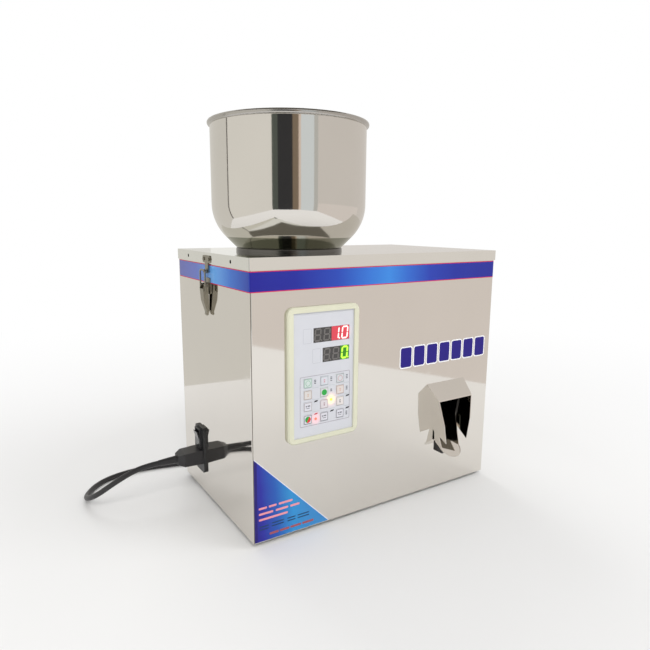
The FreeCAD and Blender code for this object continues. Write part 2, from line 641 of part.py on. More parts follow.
# ---------------------------------------------------------------- outlet
def outlet_chute():
    """Sloping channel from under the bucket to a round-ended tongue in front of the case."""
    slope = math.radians(CHUTE_SLOPE)
    length = (CHUTE_TOP_Y - CHUTE_TIP_Y) / math.cos(slope)
    half0, half1 = CHUTE_W0 / 2, CHUTE_W1 / 2

    def trough(wall, low):
        """Plan of the channel with its half-round end, as a solid from low up."""
        a, b, top = half0 - wall, half1 - wall, length + (1.0 if wall else 0.0)
        edges = [
            Part.LineSegment(V(-a, top, low), V(-b, half1, low)).toShape(),
            Part.Arc(V(-b, half1, low), V(0, half1 - b, low), V(b, half1, low)).toShape(),
            Part.LineSegment(V(b, half1, low), V(a, top, low)).toShape(),
            Part.LineSegment(V(a, top, low), V(-a, top, low)).toShape(),
        ]
        return Part.Face(Part.Wire(edges)).extrude(V(0, 0, CHUTE_WALL_H - low + (1.0 if wall else 0.0)))

    channel = trough(0.0, -SHEET).cut(trough(SHEET, 0.0))
    side_view = [
        (-5.0, -SHEET - 1), (length + 5, -SHEET - 1), (length + 5, CHUTE_WALL_H + 1),
        (half1 + 1.4 * CHUTE_WALL_H, CHUTE_WALL_H + 1), (half1 * 0.9, TONGUE_LIP), (-5.0, TONGUE_LIP),
    ]
    channel = channel.common(prism(in_yz(-CHUTE_W0, side_view), V(2 * CHUTE_W0, 0, 0)))
    channel.rotate(V(0, 0, 0), X, CHUTE_SLOPE)
    return channel.translated(V(SPOUT_X, CHUTE_TIP_Y, CASE_Z0 + CHUTE_TIP_Z))


def chute_stand():
    """Folded stand from the floor sheet to the chute's underside."""
    y0 = BUCKET_Y0 + SHEET + STAND_Y
    half = CHUTE_W1 / 2 - 6.0
    x0, x1 = SPOUT_X - half, SPOUT_X + half - 3.0
    top0, top1 = chute_under_z(y0) - FIT, chute_under_z(y0 + PLATE_T) - FIT
    side = [(y0, FLOOR_Z), (y0 + PLATE_T, FLOOR_Z), (y0 + PLATE_T, top1), (y0, top0)]
    web = prism(in_yz(x0, side), V(x1 - x0, 0, 0))
    return web.fuse(box(x0, x1, y0 + PLATE_T, y0 + PLATE_FOOT, FLOOR_Z, FLOOR_Z + PLATE_T)).removeSplitter()


def outlet_hood():
    """Tapered hood over the outlet: a sloping roof and two cheeks that lean in."""
    y = FRONT_Y
    pitch = (HOOD_TOP - HOOD_NOSE_Z) / HOOD_NOSE
    roof_drop = SHEET * math.sqrt(1 + pitch * pitch)
    outer = [
        (y, HOOD_TOP), (y - HOOD_NOSE, HOOD_NOSE_Z), (y - HOOD_REACH, HOOD_NOSE_Z - 33.0),
        (y - HOOD_REACH, HOOD_BOTTOM), (y, HOOD_BACK_BOTTOM),
    ]
    past = HOOD_REACH + 6.0
    inner = [
        (y + 1, HOOD_TOP - roof_drop + pitch), (y - past, HOOD_TOP - roof_drop - past * pitch),
        (y - past, 0.0), (y + 1, 0.0),
    ]

    def between_cheeks(inset):
        half0 = HOOD_W / 2 - inset
        half1 = half0 - hood_lean(HOOD_BOTTOM - 20)
        outline = [(-half0, HOOD_TOP), (half0, HOOD_TOP), (half1, HOOD_BOTTOM - 20), (-half1, HOOD_BOTTOM - 20)]
        return prism(in_xz(y - 60, [(SPOUT_X + a, CASE_Z0 + b) for a, b in outline]), V(0, 80, 0))

    def across(profile):
        return prism(in_yz(SPOUT_X - HOOD_W, [(a, CASE_Z0 + b) for a, b in profile]), V(2 * HOOD_W, 0, 0))

    return across(outer).common(between_cheeks(0.0)).cut(across(inner).common(between_cheeks(SHEET)))


def bag_sensor():
    """Small block under the hood that feels for the bag."""
    block = slab_xz(SPOUT_X - 4.0, 57.5, 11.0, 15.0, FRONT_Y - 8.0, FRONT_Y, 1.5)
    return block.cut(slab_xz(SPOUT_X - 4.0, 57.5, 5.0, 9.0, FRONT_Y - 9.0, FRONT_Y - 7.0))


# ---------------------------------------------------------------- screw feeder
def spout_block(wall):
    """Spout grown by its wall: square at the tube, its mouth over the bucket."""
    half_x = SPOUT_LX / 2 + wall
    half_y = SPOUT_LY / 2 + wall
    mouth_y = (BUCKET_Y0 + BUCKET_Y1) / 2
    top, low = AUGER_Z - TUBE_R * 0.55, SPOUT_Z - (0.0 if wall else 1.0)
    outline = [
        (AUGER_Y - half_y, top), (AUGER_Y - half_y, AUGER_Z - TUBE_R),
        (mouth_y - half_y, SPOUT_Z + 1.0), (mouth_y - half_y, low),
        (mouth_y + half_y, low), (mouth_y + half_y, SPOUT_Z + 1.0),
        (AUGER_Y + half_y, AUGER_Z - TUBE_R), (AUGER_Y + half_y, top),
    ]
    return prism(in_yz(SPOUT_X - half_x, outline), V(2 * half_x, 0, 0))


def auger_housing():
    """Feed tube with a top inlet pipe, end flanges and a forward-leaning spout."""
    start, length = (TUBE_X0, AUGER_Y, AUGER_Z), TUBE_X1 - TUBE_X0
    inlet_h = cone_z(NECK_R) - 0.5 - AUGER_Z
    inlet_r = NECK_R + 3 * FIT
    flange_r = TUBE_OUT_R + TUBE_FLANGE
    over_inlet = (HOPPER_X, HOPPER_Y, AUGER_Z)
    outer = [
        rod(TUBE_OUT_R, length, start, X),
        rod(flange_r, PLATE_T, start, X),
        rod(flange_r, PLATE_T, (TUBE_X1 - PLATE_T, AUGER_Y, AUGER_Z), X),
        rod(inlet_r + TUBE_WALL, inlet_h, over_inlet),
        spout_block(TUBE_WALL),
    ]
    inner = [rod(TUBE_R, length, start, X), rod(inlet_r, inlet_h + 1, over_inlet), spout_block(0.0)]
    return cut_all(fuse(outer), inner)


def flat_sided(sections):
    """Solid through outlines of equally many points, every side of two flat facets."""
    facets = [[*sections[0]], [*sections[-1]]]
    for near, far in zip(sections, sections[1:]):
        for n in range(len(near)):
            a, b, c, d = near[n - 1], near[n], far[n], far[n - 1]
            facets += [[a, b, c], [a, c, d]]
    return Part.Solid(Part.makeShell([Part.Face(Part.makePolygon([*f, f[0]])) for f in facets]))


def auger_screw():
    """Shaft with one continuous flight, built through sections that turn and advance."""
    x0, x1 = GEAR_X - 2.0, TUBE_X1 + PLATE_T + 4.0
    shaft = rod(SHAFT_R, x1 - x0, (x0, AUGER_Y, AUGER_Z), X)
    flight_x0 = TUBE_X0 + 12.0
    rim_r = FLIGHT_R
    root_r = SHAFT_R - 1.5

    def section(turn):
        angle = 2 * math.pi * turn
        out = V(0, math.cos(angle), math.sin(angle))
        middle = V(flight_x0 + FLIGHT_PITCH * turn, AUGER_Y, AUGER_Z)
        half = FLIGHT_T / 2
        corners = ((root_r, -half), (rim_r, -half), (rim_r, half), (root_r, half))
        return [middle + out * radius + X * along for radius, along in corners]

    steps = round(FLIGHT_TURNS * FLIGHT_STEPS)
    flight = flat_sided([section(n / FLIGHT_STEPS) for n in range(steps + 1)])
    return shaft.fuse(flight)


def shaft_bushes():
    """Plain bearings in the two upright plates."""
    return Part.makeCompound([
        tube(BUSH_R, SHAFT_R + RUN, PLATE_T + 3.0, (x, AUGER_Y, AUGER_Z), X)
        for x in (LEFT_PLATE_X - 1.0, TUBE_X1 - 2.0)
    ])


def upright(x, foot_side):
    """Folded plate that stands on the floor sheet and carries one end of the feeder."""
    y0, y1 = AUGER_Y - PLATE_W / 2, AUGER_Y + PLATE_W / 2
    plate = box(x, x + PLATE_T, y0, y1, FLOOR_Z, AUGER_Z + TUBE_OUT_R + PLATE_HEAD)
    near = x if foot_side < 0 else x + PLATE_T
    ends = sorted((near, near + foot_side * PLATE_FOOT))
    foot = box(*ends, y0, y1, FLOOR_Z, FLOOR_Z + PLATE_T)
    window = slab_yz(
        AUGER_Y, PLATE_WINDOW_Z, PLATE_W - 2 * PLATE_STILE, PLATE_WINDOW_H, x - 1, x + PLATE_T + 1, 8.0)
    bore = rod(BUSH_R, PLATE_T + 2, (x - 1, AUGER_Y, AUGER_Z), X)
    return cut_all(fuse([plate, foot]), [window, bore])


def left_upright():
    boss_hole = rod(MOTOR_SHAFT_R + 4.0, PLATE_T + 2, (LEFT_PLATE_X - 1, AUGER_Y, MOTOR_Z), X)
    return upright(LEFT_PLATE_X, -1).cut(boss_hole)


def right_upright():
    return upright(TUBE_X1, 1)


def gear_motor():
    """Gearbox with a front boss, motor can and end cap."""
    x = TUBE_X0
    gearbox = rod(MOTOR_R, GEARBOX_L, (x, AUGER_Y, MOTOR_Z), X)
    can = rod(MOTOR_R - 1.5, MOTOR_L - GEARBOX_L, (x + GEARBOX_L, AUGER_Y, MOTOR_Z), X)
    cap = rod(6.0, 4.0, (x + MOTOR_L, AUGER_Y, MOTOR_Z), X)
    boss = rod(MOTOR_SHAFT_R + 3.5, PLATE_T, (x - PLATE_T, AUGER_Y, MOTOR_Z), X)
    bore = rod(MOTOR_SHAFT_R + RUN, PLATE_T + 8.0, (x - PLATE_T - 1, AUGER_Y, MOTOR_Z), X)
    return fuse([gearbox, can, cap, boss]).cut(bore)


def gear_outline(teeth, centre_z, phase):
    """Closed involute outline, three chords to a flank; phase is the first tooth's angle."""
    pitch_r = GEAR_MODULE * teeth / 2
    pressure = math.radians(20)
    base_r = pitch_r * math.cos(pressure)
    tip_r, root_r = pitch_r + GEAR_MODULE, pitch_r - 1.25 * GEAR_MODULE
    half_tooth = (math.pi * GEAR_MODULE / 2 - BACKLASH) / 2 / pitch_r
    pitch_roll = math.tan(pressure) - pressure

    def half_angle(radius):
        if radius <= base_r:
            return half_tooth + pitch_roll
        angle = math.acos(base_r / radius)
        return half_tooth + pitch_roll - (math.tan(angle) - angle)

    flank = [root_r, max(base_r, root_r + 0.2), pitch_r, tip_r]
    points = []
    for n in range(teeth):
        middle = phase + 2 * math.pi * n / teeth
        sides = [(r, middle - half_angle(r)) for r in flank]
        sides += [(r, middle + half_angle(r)) for r in reversed(flank)]
        points += [V(GEAR_X, AUGER_Y + r * math.cos(a), centre_z + r * math.sin(a)) for r, a in sides]
    return points


def auger_wheel():
    """Spur gear pressed on the screw's shaft, its web thinned."""
    wheel = prism(gear_outline(WHEEL_TEETH, AUGER_Z, -math.pi / 2), V(GEAR_W, 0, 0))
    rim_r = GEAR_MODULE * WHEEL_TEETH / 2 - 6.0
    dish = tube(rim_r, BUSH_R + 3.0, 2.0, (GEAR_X, AUGER_Y, AUGER_Z), X)
    return cut_all(wheel, [dish, rod(SHAFT_R, GEAR_W, (GEAR_X, AUGER_Y, AUGER_Z), X)])


def drive_pinion():
    """Pinion and the motor's output shaft in one piece."""
    phase = math.pi / 2 + math.pi / PINION_TEETH
    pinion = prism(gear_outline(PINION_TEETH, MOTOR_Z, phase), V(GEAR_W, 0, 0))
    shaft_l = TUBE_X0 + 4.0 - (GEAR_X - 2.0)
    return pinion.fuse(rod(MOTOR_SHAFT_R, shaft_l, (GEAR_X - 2.0, AUGER_Y, MOTOR_Z), X))


# ---------------------------------------------------------------- weighing
def weigh_bucket():
    """Open-ended bucket with hinge ears and an arm to the load cell's free end."""
    x0, x1, y1 = BUCKET_X0, BUCKET_X1, BUCKET_Y1
    walls = box(x0, x1, BUCKET_Y0, y1, BUCKET_Z0, BUCKET_Z1)
    walls = walls.cut(box(x0 + SHEET, x1 - SHEET, BUCKET_Y0 + SHEET, y1 - SHEET, BUCKET_Z0 - 1, BUCKET_Z1 + 1))
    pieces = [walls]
    for x in (x0 - SHEET, x1):
        pieces.append(box(x, x + SHEET, y1 - 8.0, FLAP_PIN_Y, BUCKET_Z0, BUCKET_Z0 + 12.0))
        pieces.append(rod(4.0, SHEET, (x, FLAP_PIN_Y, FLAP_PIN_Z), X))
    cell_x0 = TUBE_X1 - CELL_L
    z0, z1 = CELL_Z0, CELL_Z0 + CELL_T
    pieces.append(box(cell_x0, x0 + 14.0, y1, CELL_Y0 - 3.0, z0, z1))
    pieces.append(box(cell_x0, cell_x0 + 16.0, CELL_Y0 - 3.0, CELL_Y0, z0, z1))
    pin_hole = rod(FLAP_PIN_R + RUN, BUCKET_LX + 6, (x0 - 3, FLAP_PIN_Y, FLAP_PIN_Z), X)
    return fuse(pieces).cut(pin_hole)


def bucket_flap():
    """Drop flap under the bucket, its knuckle and hinge pin."""
    x0, x1 = BUCKET_X0 + FIT, BUCKET_X1 - FIT
    top = BUCKET_Z0 - 1.5 * FIT
    plate = box(x0, x1, BUCKET_Y0, FLAP_PIN_Y, top - SHEET, top)
    knuckle_r = FLAP_PIN_R + 1.0
    knuckle = rod(knuckle_r, x1 - x0 - 8, (x0 + 4, FLAP_PIN_Y, FLAP_PIN_Z), X)
    web = box(x0 + 4, x1 - 4, FLAP_PIN_Y - knuckle_r, FLAP_PIN_Y, top - SHEET, FLAP_PIN_Z)
    pin = rod(FLAP_PIN_R, BUCKET_LX + 18, (BUCKET_X0 - 14, FLAP_PIN_Y, FLAP_PIN_Z), X)
    return fuse([plate, web, knuckle, pin])


def flap_servo():
    """Servo on the bucket's left ear; the flap's pin is its output shaft."""
    ear_x = BUCKET_X0 - SHEET
    z, y = FLAP_PIN_Z, FLAP_PIN_Y
    case = box(ear_x - 24, ear_x - 4, y - 4.5, y + 18, z - 6, z + 6)
    boss = rod(4.4, 4.0, (ear_x - 4, y, z), X)
    return case.fuse(boss).removeSplitter().cut(rod(FLAP_PIN_R + RUN, 16, (ear_x - 14, y, z), X))


def load_cell():
    """Single-point bar: one end on the right upright, the bucket's arm on the other."""
    x0, y0 = TUBE_X1 - CELL_L, CELL_Y0
    bar = box(x0, TUBE_X1, y0, y0 + CELL_T, CELL_Z0, CELL_Z0 + CELL_T)
    mid_x, mid_z = x0 + CELL_L / 2, CELL_Z0 + CELL_T / 2
    eyes = [rod(4.2, CELL_T + 2, (mid_x + dx, y0 - 1, mid_z), Y) for dx in (-7.0, 7.0)]
    slit = box(mid_x - 7, mid_x + 7, y0 - 1, y0 + CELL_T + 1, mid_z - 1.2, mid_z + 1.2)
    return cut_all(bar, [*eyes, slit])


# ---------------------------------------------------------------- mains, fan and lead
def power_supply():
    """Switched-mode supply on the floor sheet: finned case and terminal strip."""
    x0, y0, z1 = SUPPLY_X, SUPPLY_Y, FLOOR_Z + SUPPLY_H
    case = box(x0, x0 + SUPPLY_L, y0, y0 + SUPPLY_W, FLOOR_Z, z1)
    y2, y3 = y0 + SUPPLY_W / 11, y0 + SUPPLY_W * 10 / 11
    fins = [x0 + SUPPLY_FIN_PITCH * (n + 1.25) for n in range(SUPPLY_FINS)]
    grooves = [box(x, x + SUPPLY_FIN_PITCH / 4, y2, y3, z1 - 1.5, z1 + 1) for x in fins]
    strip = box(x0 - SUPPLY_L / 8, x0, y2, y3, FLOOR_Z, FLOOR_Z + SUPPLY_H * 4 / 9)
    return fuse([cut_all(case, grooves), strip])


CONTACTS = ((7.0, -2.0), (-7.0, -2.0), (0.0, 2.0))


def contact_slabs(x0, x1, grow=0.0):
    return [slab_yz(INLET_Y + dy, SOCKET_Z + dz, 2.0 + grow, 4.0 + grow, x0, x1) for dy, dz in CONTACTS]


def power_inlet():
    """Flanged mains inlet: a three-pin socket below and the raised seat of a rocker above."""
    face = INLET_FACE
    flange = slab_yz(INLET_Y, INLET_Z, INLET_W, INLET_H, face, -WALL_X, 4.0)
    body = slab_yz(INLET_Y, INLET_Z, INLET_BODY_W, INLET_BODY_H, -WALL_X, -WALL_X + INLET_DEPTH)
    collar = slab_yz(INLET_Y, ROCKER_Z, ROCKER_W + 6, ROCKER_L + 6, face - ROCKER_COLLAR, face, 2.0)
    socket = slab_yz(INLET_Y, SOCKET_Z, SOCKET_W, SOCKET_H, face - 1, face + SOCKET_DEPTH)
    well = slab_yz(
        INLET_Y, ROCKER_Z, ROCKER_W + 1.0, ROCKER_L + 2.4, face - ROCKER_COLLAR - 1, face + 9.0)
    axle_x, axle_z = rocker_axis()
    bore = rod(1.5 + RUN, ROCKER_W + 4, (axle_x, INLET_Y - ROCKER_W / 2 - 2, axle_z), Y)
    shell = cut_all(fuse([flange, body, collar]), [socket, well, bore])
    return fuse([shell, *contact_slabs(face + 5.0, face + SOCKET_DEPTH)])


def rocker_axis():
    return -WALL_X - 2.0, CASE_Z0 + ROCKER_Z


def power_rocker():
    """See-saw switch cap on its axle, resting with its lower end pressed in."""
    axle_x, axle_z = rocker_axis()
    half = ROCKER_L / 2
    outline = [(-3.0, -5.0), (-3.0, 5.0), (5.6, half), (4.4, 0.0), (5.6, -half)]
    tilt = math.radians(ROCKER_TILT)
    c, s = math.cos(tilt), math.sin(tilt)
    turned = [(axle_x - out * c - z * s, axle_z + z * c - out * s) for out, z in outline]
    y0 = INLET_Y - ROCKER_W / 2
    cap = prism(in_xz(y0, turned), V(0, ROCKER_W, 0))
    return cap.fuse(rod(1.5, ROCKER_W + 3, (axle_x, y0 - 1.5, axle_z), Y))


def cord_connector():
    """Moulded lead connector: nose in the socket, body and tapered strain relief."""
    face = INLET_FACE
    nose = slab_yz(
        INLET_Y, SOCKET_Z, SOCKET_W - 2 * FIT, SOCKET_H - 2 * FIT, face, face + SOCKET_DEPTH - 0.5)
    nose = cut_all(nose, contact_slabs(face + 4.5, face + SOCKET_DEPTH, 0.4))
    z = CASE_Z0 + SOCKET_Z

    def ring(x, width, height):
        signs = ((1, 1), (-1, 1), (-1, -1), (1, -1), (1, 1))
        return Part.makePolygon([V(x, INLET_Y + a * width / 2, z + b * height / 2) for a, b in signs])

    end = face - CONNECTOR_L
    waist = ring(end + 8, CONNECTOR_W - 3, CONNECTOR_H - 1)
    body = Part.makeLoft([ring(face, CONNECTOR_W, CONNECTOR_H), waist], True)
    shoulder = Part.makeLoft([waist, ring(end, 13.0, 12.5)], True)
    relief = Part.makeCone(5.4, CORD_R + 0.4, RELIEF_L, V(end, INLET_Y, z), -X)
    return fuse([nose, body, shoulder, relief])


def fan_frame():
    """Square fan housing behind the barred hole, with hub and spokes."""
    y1 = BACK_Y - SHEET
    y0 = y1 - FAN_T
    z = CASE_Z0 + FAN_Z
    frame = slab_xz(FAN_X, FAN_Z, FAN_SIZE, FAN_SIZE, y0, y1, 3.0)
    frame = frame.cut(rod(FAN_SIZE / 2 - FAN_RING, FAN_T, (FAN_X, y0, z), Y))
    spokes = [
        slab_xz(FAN_X, FAN_Z, width, height, y0, y0 + 2.0)
        for width, height in ((FAN_SIZE - 2, 4.0), (4.0, FAN_SIZE - 2))
    ]
    hub = rod(FAN_HUB_R, 2.5, (FAN_X, y0, z), Y)
    return fuse([frame, *spokes, hub]).cut(rod(1.5 + RUN, 4, (FAN_X, y0 - 1, z), Y))


def fan_rotor():
    """Hub with pitched blades, on a short shaft in the frame's hub."""
    y0 = BACK_Y - SHEET - FAN_T
    z = CASE_Z0 + FAN_Z
    hub = rod(FAN_HUB_R + 1.0, FAN_T * 0.6, (FAN_X, y0 + 3.2, z), Y)
    shaft = rod(1.5, 4.0, (FAN_X, y0, z), Y)
    blades = []
    for n in range(FAN_BLADES):
        blade = box(-4.5, 4.5, y0 + 7.0, y0 + 8.2, FAN_HUB_R - 1.0, FAN_SIZE / 2 - 2 * FAN_RING)
        blade.rotate(V(0, y0 + 7.6, 0), Z, BLADE_PITCH)
        blade.rotate(V(0, 0, 0), Y, 360.0 * n / FAN_BLADES)
        blades.append(blade.translated(V(FAN_X, 0, z)))
    return fuse([hub, shaft, *blades])


def cord_start():
    return INLET_FACE - CONNECTOR_L - RELIEF_L, INLET_Y, CASE_Z0 + SOCKET_Z


def cord_radii(points):
    """Arc at each inner point: 0.45 of the shorter run over the tangent of half the turn."""
    points = [V(*p) for p in points]
    radii = []
    for before, corner, after in zip(points, points[1:], points[2:]):
        run = min((corner - before).Length, (after - corner).Length)
        half_turn = (math.pi - (before - corner).getAngle(after - corner)) / 2
        radii.append(0.45 * run / math.tan(half_turn))
    return radii


def power_cord():
    """The stretch of the mains lead between the connector and its coil."""
    points = [cord_start(), *CORD_ROUTE]
    radii = cord_radii(points)
    path = rounded_path(points, radii)
    lead = swept_round(path, CORD_R)
    print("lead radii", [round(r) for r in radii], "length", round(path.Length, 1),
          "volume over section times length", round(lead.Volume / (math.pi * CORD_R ** 2 * path.Length), 4))
    return lead


def cord_coil():
    """The put-away length of the lead, wound in a flat ring behind the case."""
    outline = [(COIL_IN, 0.0), (COIL_OUT, 0.0), (COIL_OUT, COIL_H), (COIL_IN, COIL_H)]
    return revolved(outline, COIL_X, COIL_Y)


def mains_plug():
    """Moulded plug beside the coil: tapered relief, body and three blades."""
    x, z = COIL_X + COIL_OUT - CORD_R, COIL_H - CORD_R
    y0 = COIL_Y + 24.0
    relief = Part.makeCone(CORD_R + 0.4, 6.0, 22.0, V(x, y0, z), Y)
    y1 = y0 + 22.0
    body = box(x - 13, x + 13, y1, y1 + 30, z - 10.5, z + 9.5)
    body = round_edges(body, 4.0, Y)
    blades = [box(x + dx - 3.2, x + dx + 3.2, y1 + 30, y1 + 47, z + dz - 0.8, z + dz + 0.8)
              for dx, dz in ((-6.5, -3.0), (6.5, -3.0))]
    blades.append(box(x - 0.8, x + 0.8, y1 + 30, y1 + 49, z + 1.0, z + 7.4))
    return fuse([relief, body, *blades])


# ---------------------------------------------------------------- all nodes
def nodes():
    """Every node's name and shape in the working frame."""
    made = {
        "body_shell": body_shell(),
        "rear_panel": rear_panel(),
        "rear_screws": rear_screws(),
        "base_pan": base_pan(),
        "rubber_feet": rubber_feet(),
        "lid": lid(),
        "hopper_bowl": hopper_bowl(),
        "hopper_collar": hopper_collar(),
        "panel_bezel": panel_bezel(),
        "panel_overlay": panel_overlay(),
        "display_upper": display(4, DISPLAY_UPPER_Z),
        "display_lower": display(3, DISPLAY_LOWER_Z),
        "control_board": control_board(),
        "outlet_hood": outlet_hood(),
        "outlet_chute": outlet_chute(),
        "chute_stand": chute_stand(),
        "bag_sensor": bag_sensor(),
        "auger_housing": auger_housing(),
        "auger_screw": auger_screw(),
        "auger_wheel": auger_wheel(),
        "drive_pinion": drive_pinion(),
        "gear_motor": gear_motor(),
        "shaft_bushes": shaft_bushes(),
        "left_upright": left_upright(),
        "right_upright": right_upright(),
        "weigh_bucket": weigh_bucket(),
        "bucket_flap": bucket_flap(),
        "flap_servo": flap_servo(),
        "load_cell": load_cell(),
        "power_supply": power_supply(),
        "power_inlet": power_inlet(),
        "power_rocker": power_rocker(),
        "fan_frame": fan_frame(),
        "fan_rotor": fan_rotor(),
        "cord_connector": cord_connector(),
        "power_cord": power_cord(),
        "cord_coil": cord_coil(),
        "mains_plug": mains_plug(),
    }
    for name, place in LAMPS.items():
        made[name] = lamp(place)
    for n, place in enumerate(key_places(), 1):
        made[f"key_{n}"] = key(place)
    latch = {"catch": latch_catch, "base": latch_base, "lever": latch_lever, "bail": latch_bail}
    for name, make in latch.items():
        left = make()
        made[f"latch_{name}_left"] = left
        made[f"latch_{name}_right"] = mirrored(left)
    return made


def main():
    os.makedirs("parts", exist_ok=True)
    for name, shape in nodes().items():
        shape.translated(V(0, -MID_Y, 0)).exportStep(f"parts/{name}.step")


main()
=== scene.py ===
"""Looks of a bench-top powder filler: mirror-polished sheet, a spun hopper, printed films,
a lit key panel and a mains lead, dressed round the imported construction."""

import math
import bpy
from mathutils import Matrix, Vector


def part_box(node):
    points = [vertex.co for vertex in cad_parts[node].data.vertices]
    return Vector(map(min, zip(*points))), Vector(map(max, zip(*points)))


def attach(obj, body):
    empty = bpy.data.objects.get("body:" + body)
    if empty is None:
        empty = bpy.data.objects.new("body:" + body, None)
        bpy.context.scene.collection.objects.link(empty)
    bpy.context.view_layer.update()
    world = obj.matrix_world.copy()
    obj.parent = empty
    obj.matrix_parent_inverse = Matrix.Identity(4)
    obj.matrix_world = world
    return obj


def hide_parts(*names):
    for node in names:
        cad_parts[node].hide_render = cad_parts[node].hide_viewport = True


bl_info = {
    "name": "Powder filler looks",
    "version": (1, 0, 0),
    "blender": (4, 5, 0),
    "location": "3D View > Sidebar > Filler",
    "description": "Dresses a packed powder filler with its finishes, films, key panel and lead",
    "category": "Object",
}

import bmesh
import bpy
from bpy.props import FloatProperty, FloatVectorProperty, IntProperty, PointerProperty
from mathutils import Matrix, Vector

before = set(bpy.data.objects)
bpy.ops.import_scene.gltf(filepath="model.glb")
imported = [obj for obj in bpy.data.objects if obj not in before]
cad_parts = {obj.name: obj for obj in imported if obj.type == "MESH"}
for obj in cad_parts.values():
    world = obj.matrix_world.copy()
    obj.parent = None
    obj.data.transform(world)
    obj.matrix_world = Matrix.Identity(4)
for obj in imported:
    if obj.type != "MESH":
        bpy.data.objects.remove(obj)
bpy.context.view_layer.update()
MM = 0.001


def low(node):
    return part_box(node)[0]


def high(node):
    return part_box(node)[1]


FRONT_Y = low("body_shell").y
LEFT_X, RIGHT_X = low("body_shell").x, high("body_shell").x
MIDDLE_Y = FRONT_Y + 0.115  # middle of the case, front to back
BACK_Y = high("body_shell").y
CASE_Z = low("body_shell").z
FILM = 0.00015              # thickness of a printed film
CORNER = 0.002              # radius of the case's upright front corners
BARE_EDGE = 0.0012          # bare sheet between a film and the edge that it stops at
KEY_COLUMNS = (-0.1194, -0.0968, -0.0742)
KEY_ROWS = (0.1840, 0.1698, 0.1554, 0.1398)     # above the case's lower edge
KEY_HALF = 0.00525
DIGIT_PITCH = 0.0126
COIL_X, COIL_Y = -84.0, 176.0
KEY_TINTS = {               # film, frame and mark of each key that differs from a plain one
    1: ((204, 216, 212), (146, 188, 170), (132, 178, 158)),
    2: ((212, 214, 222), (170, 184, 186), (206, 150, 164)),
    3: ((208, 210, 214), (160, 172, 172), (196, 150, 158)),
    4: ((214, 210, 208), (186, 170, 162), (206, 182, 166)),
    5: ((212, 214, 216), (176, 186, 176), (52, 164, 74)),
    6: ((216, 208, 204), (196, 170, 162), (212, 176, 166)),
    7: ((214, 214, 222), (178, 170, 170), (104, 106, 114)),
    8: ((216, 210, 214), (190, 176, 180), (176, 150, 158)),
    9: ((222, 216, 214), (196, 190, 184), (140, 138, 144)),
}
PLAIN_KEY = ((214, 214, 222), (120, 122, 130), (104, 106, 114))
LABEL_BARS = (              # piece, ink, tint, height; then each bar's start, middle height and length
    ("label_bars_pale", "salmon_ink", (232, 150, 160), 0.0026, (
        (0.0055, 0.0415, 0.0105), (0.0185, 0.0415, 0.0100), (0.0315, 0.0415, 0.0185),
        (0.0055, 0.0345, 0.0185), (0.0275, 0.0345, 0.0165), (0.0470, 0.0345, 0.0125),
        (0.0055, 0.0275, 0.0380))),
    ("label_bars_dark", "teal_ink", (28, 62, 96), 0.0014, (
        (0.0220, 0.0195, 0.0160), (0.0220, 0.0160, 0.0160), (0.0430, 0.0195, 0.0110),
        (0.0430, 0.0160, 0.0110), (0.0570, 0.0195, 0.0160), (0.0570, 0.0160, 0.0160),
        (0.0060, 0.0185, 0.0120), (0.0060, 0.0150, 0.0120))),
    ("label_bars_rust", "rust_ink", (158, 84, 92), 0.0028, (
        (0.0190, 0.0070, 0.0120), (0.0325, 0.0070, 0.0130), (0.0470, 0.0070, 0.0150),
        (0.0635, 0.0070, 0.0160))),
)
CARD_RUN = (                # upright cards in turn round the filler: name, tone, plan of the far end
    ("front_card_upper", (217, 212, 207), (0.75, -0.03)),
    ("right_card", (217, 212, 207), (0.80, 1.2)),
    ("back_card", (236, 235, 230), (0.05, 0.628)),
    ("left_card", (219, 217, 211), (-0.85, 0.510)),
    ("door_edge", (92, 88, 84), (-0.868, 0.482)),
    ("side_card", (232, 230, 224), (-1.26, -0.911)),
    ("olive_flag", (84, 90, 84), (-1.12, -1.066)),
    ("black_flag", (50, 50, 52), (-0.69, -1.357)),
    ("brown_flag", (132, 116, 98), (-0.49, -1.430)),
    ("blush_strip", (226, 208, 194), (-0.41, -1.440)),
    ("window_strip", (222, 229, 232), (0.05, -1.360)),
    ("jamb", (196, 196, 192), (0.18, -1.308)),
)
LEAD_ROUTE = (              # millimetres from the middle of the case's floor plan
    (-250.0, 49.0, 58.0),
    (-275.0, 49.0, 58.0),
    (-305.0, 56.0, 42.0),
    (-330.0, 76.0, 18.0),
    (-336.0, 112.0, 3.6),
    (-308.0, 152.0, 3.6),
    (-258.0, 166.0, 3.6),
    (-206.0, 157.0, 3.6),
    (-154.0, 142.0, 3.6),
    (-110.0, 137.6, 3.6),
)


def placed(x, y, z):
    """Point of the shared frame, in metres, from millimetres about the case's middle."""
    return Vector((x * MM, MIDDLE_Y + y * MM, z * MM))


def middle_of(node):
    """Middle of a node as seen from the front: x and z."""
    lowest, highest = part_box(node)
    return (lowest.x + highest.x) / 2, (lowest.z + highest.z) / 2


def digit_place(node, index):
    """Middle of one figure of a readout: x and z."""
    return low(node).x + (index + 0.5) * DIGIT_PITCH, middle_of(node)[1]


# ---------------------------------------------------------------- colours and shader maths
def srgb(red, green, blue):
    """Linear colour of a screen colour given as 0 to 255."""
    def linear(value):
        share = value / 255
        return share / 12.92 if share <= 0.04045 else ((share + 0.055) / 1.055) ** 2.4
    return linear(red), linear(green), linear(blue)


def rgba(colour):
    return (*colour, 1.0)


def shade(colour, factor):
    return tuple(min(1.0, channel * factor) for channel in colour)


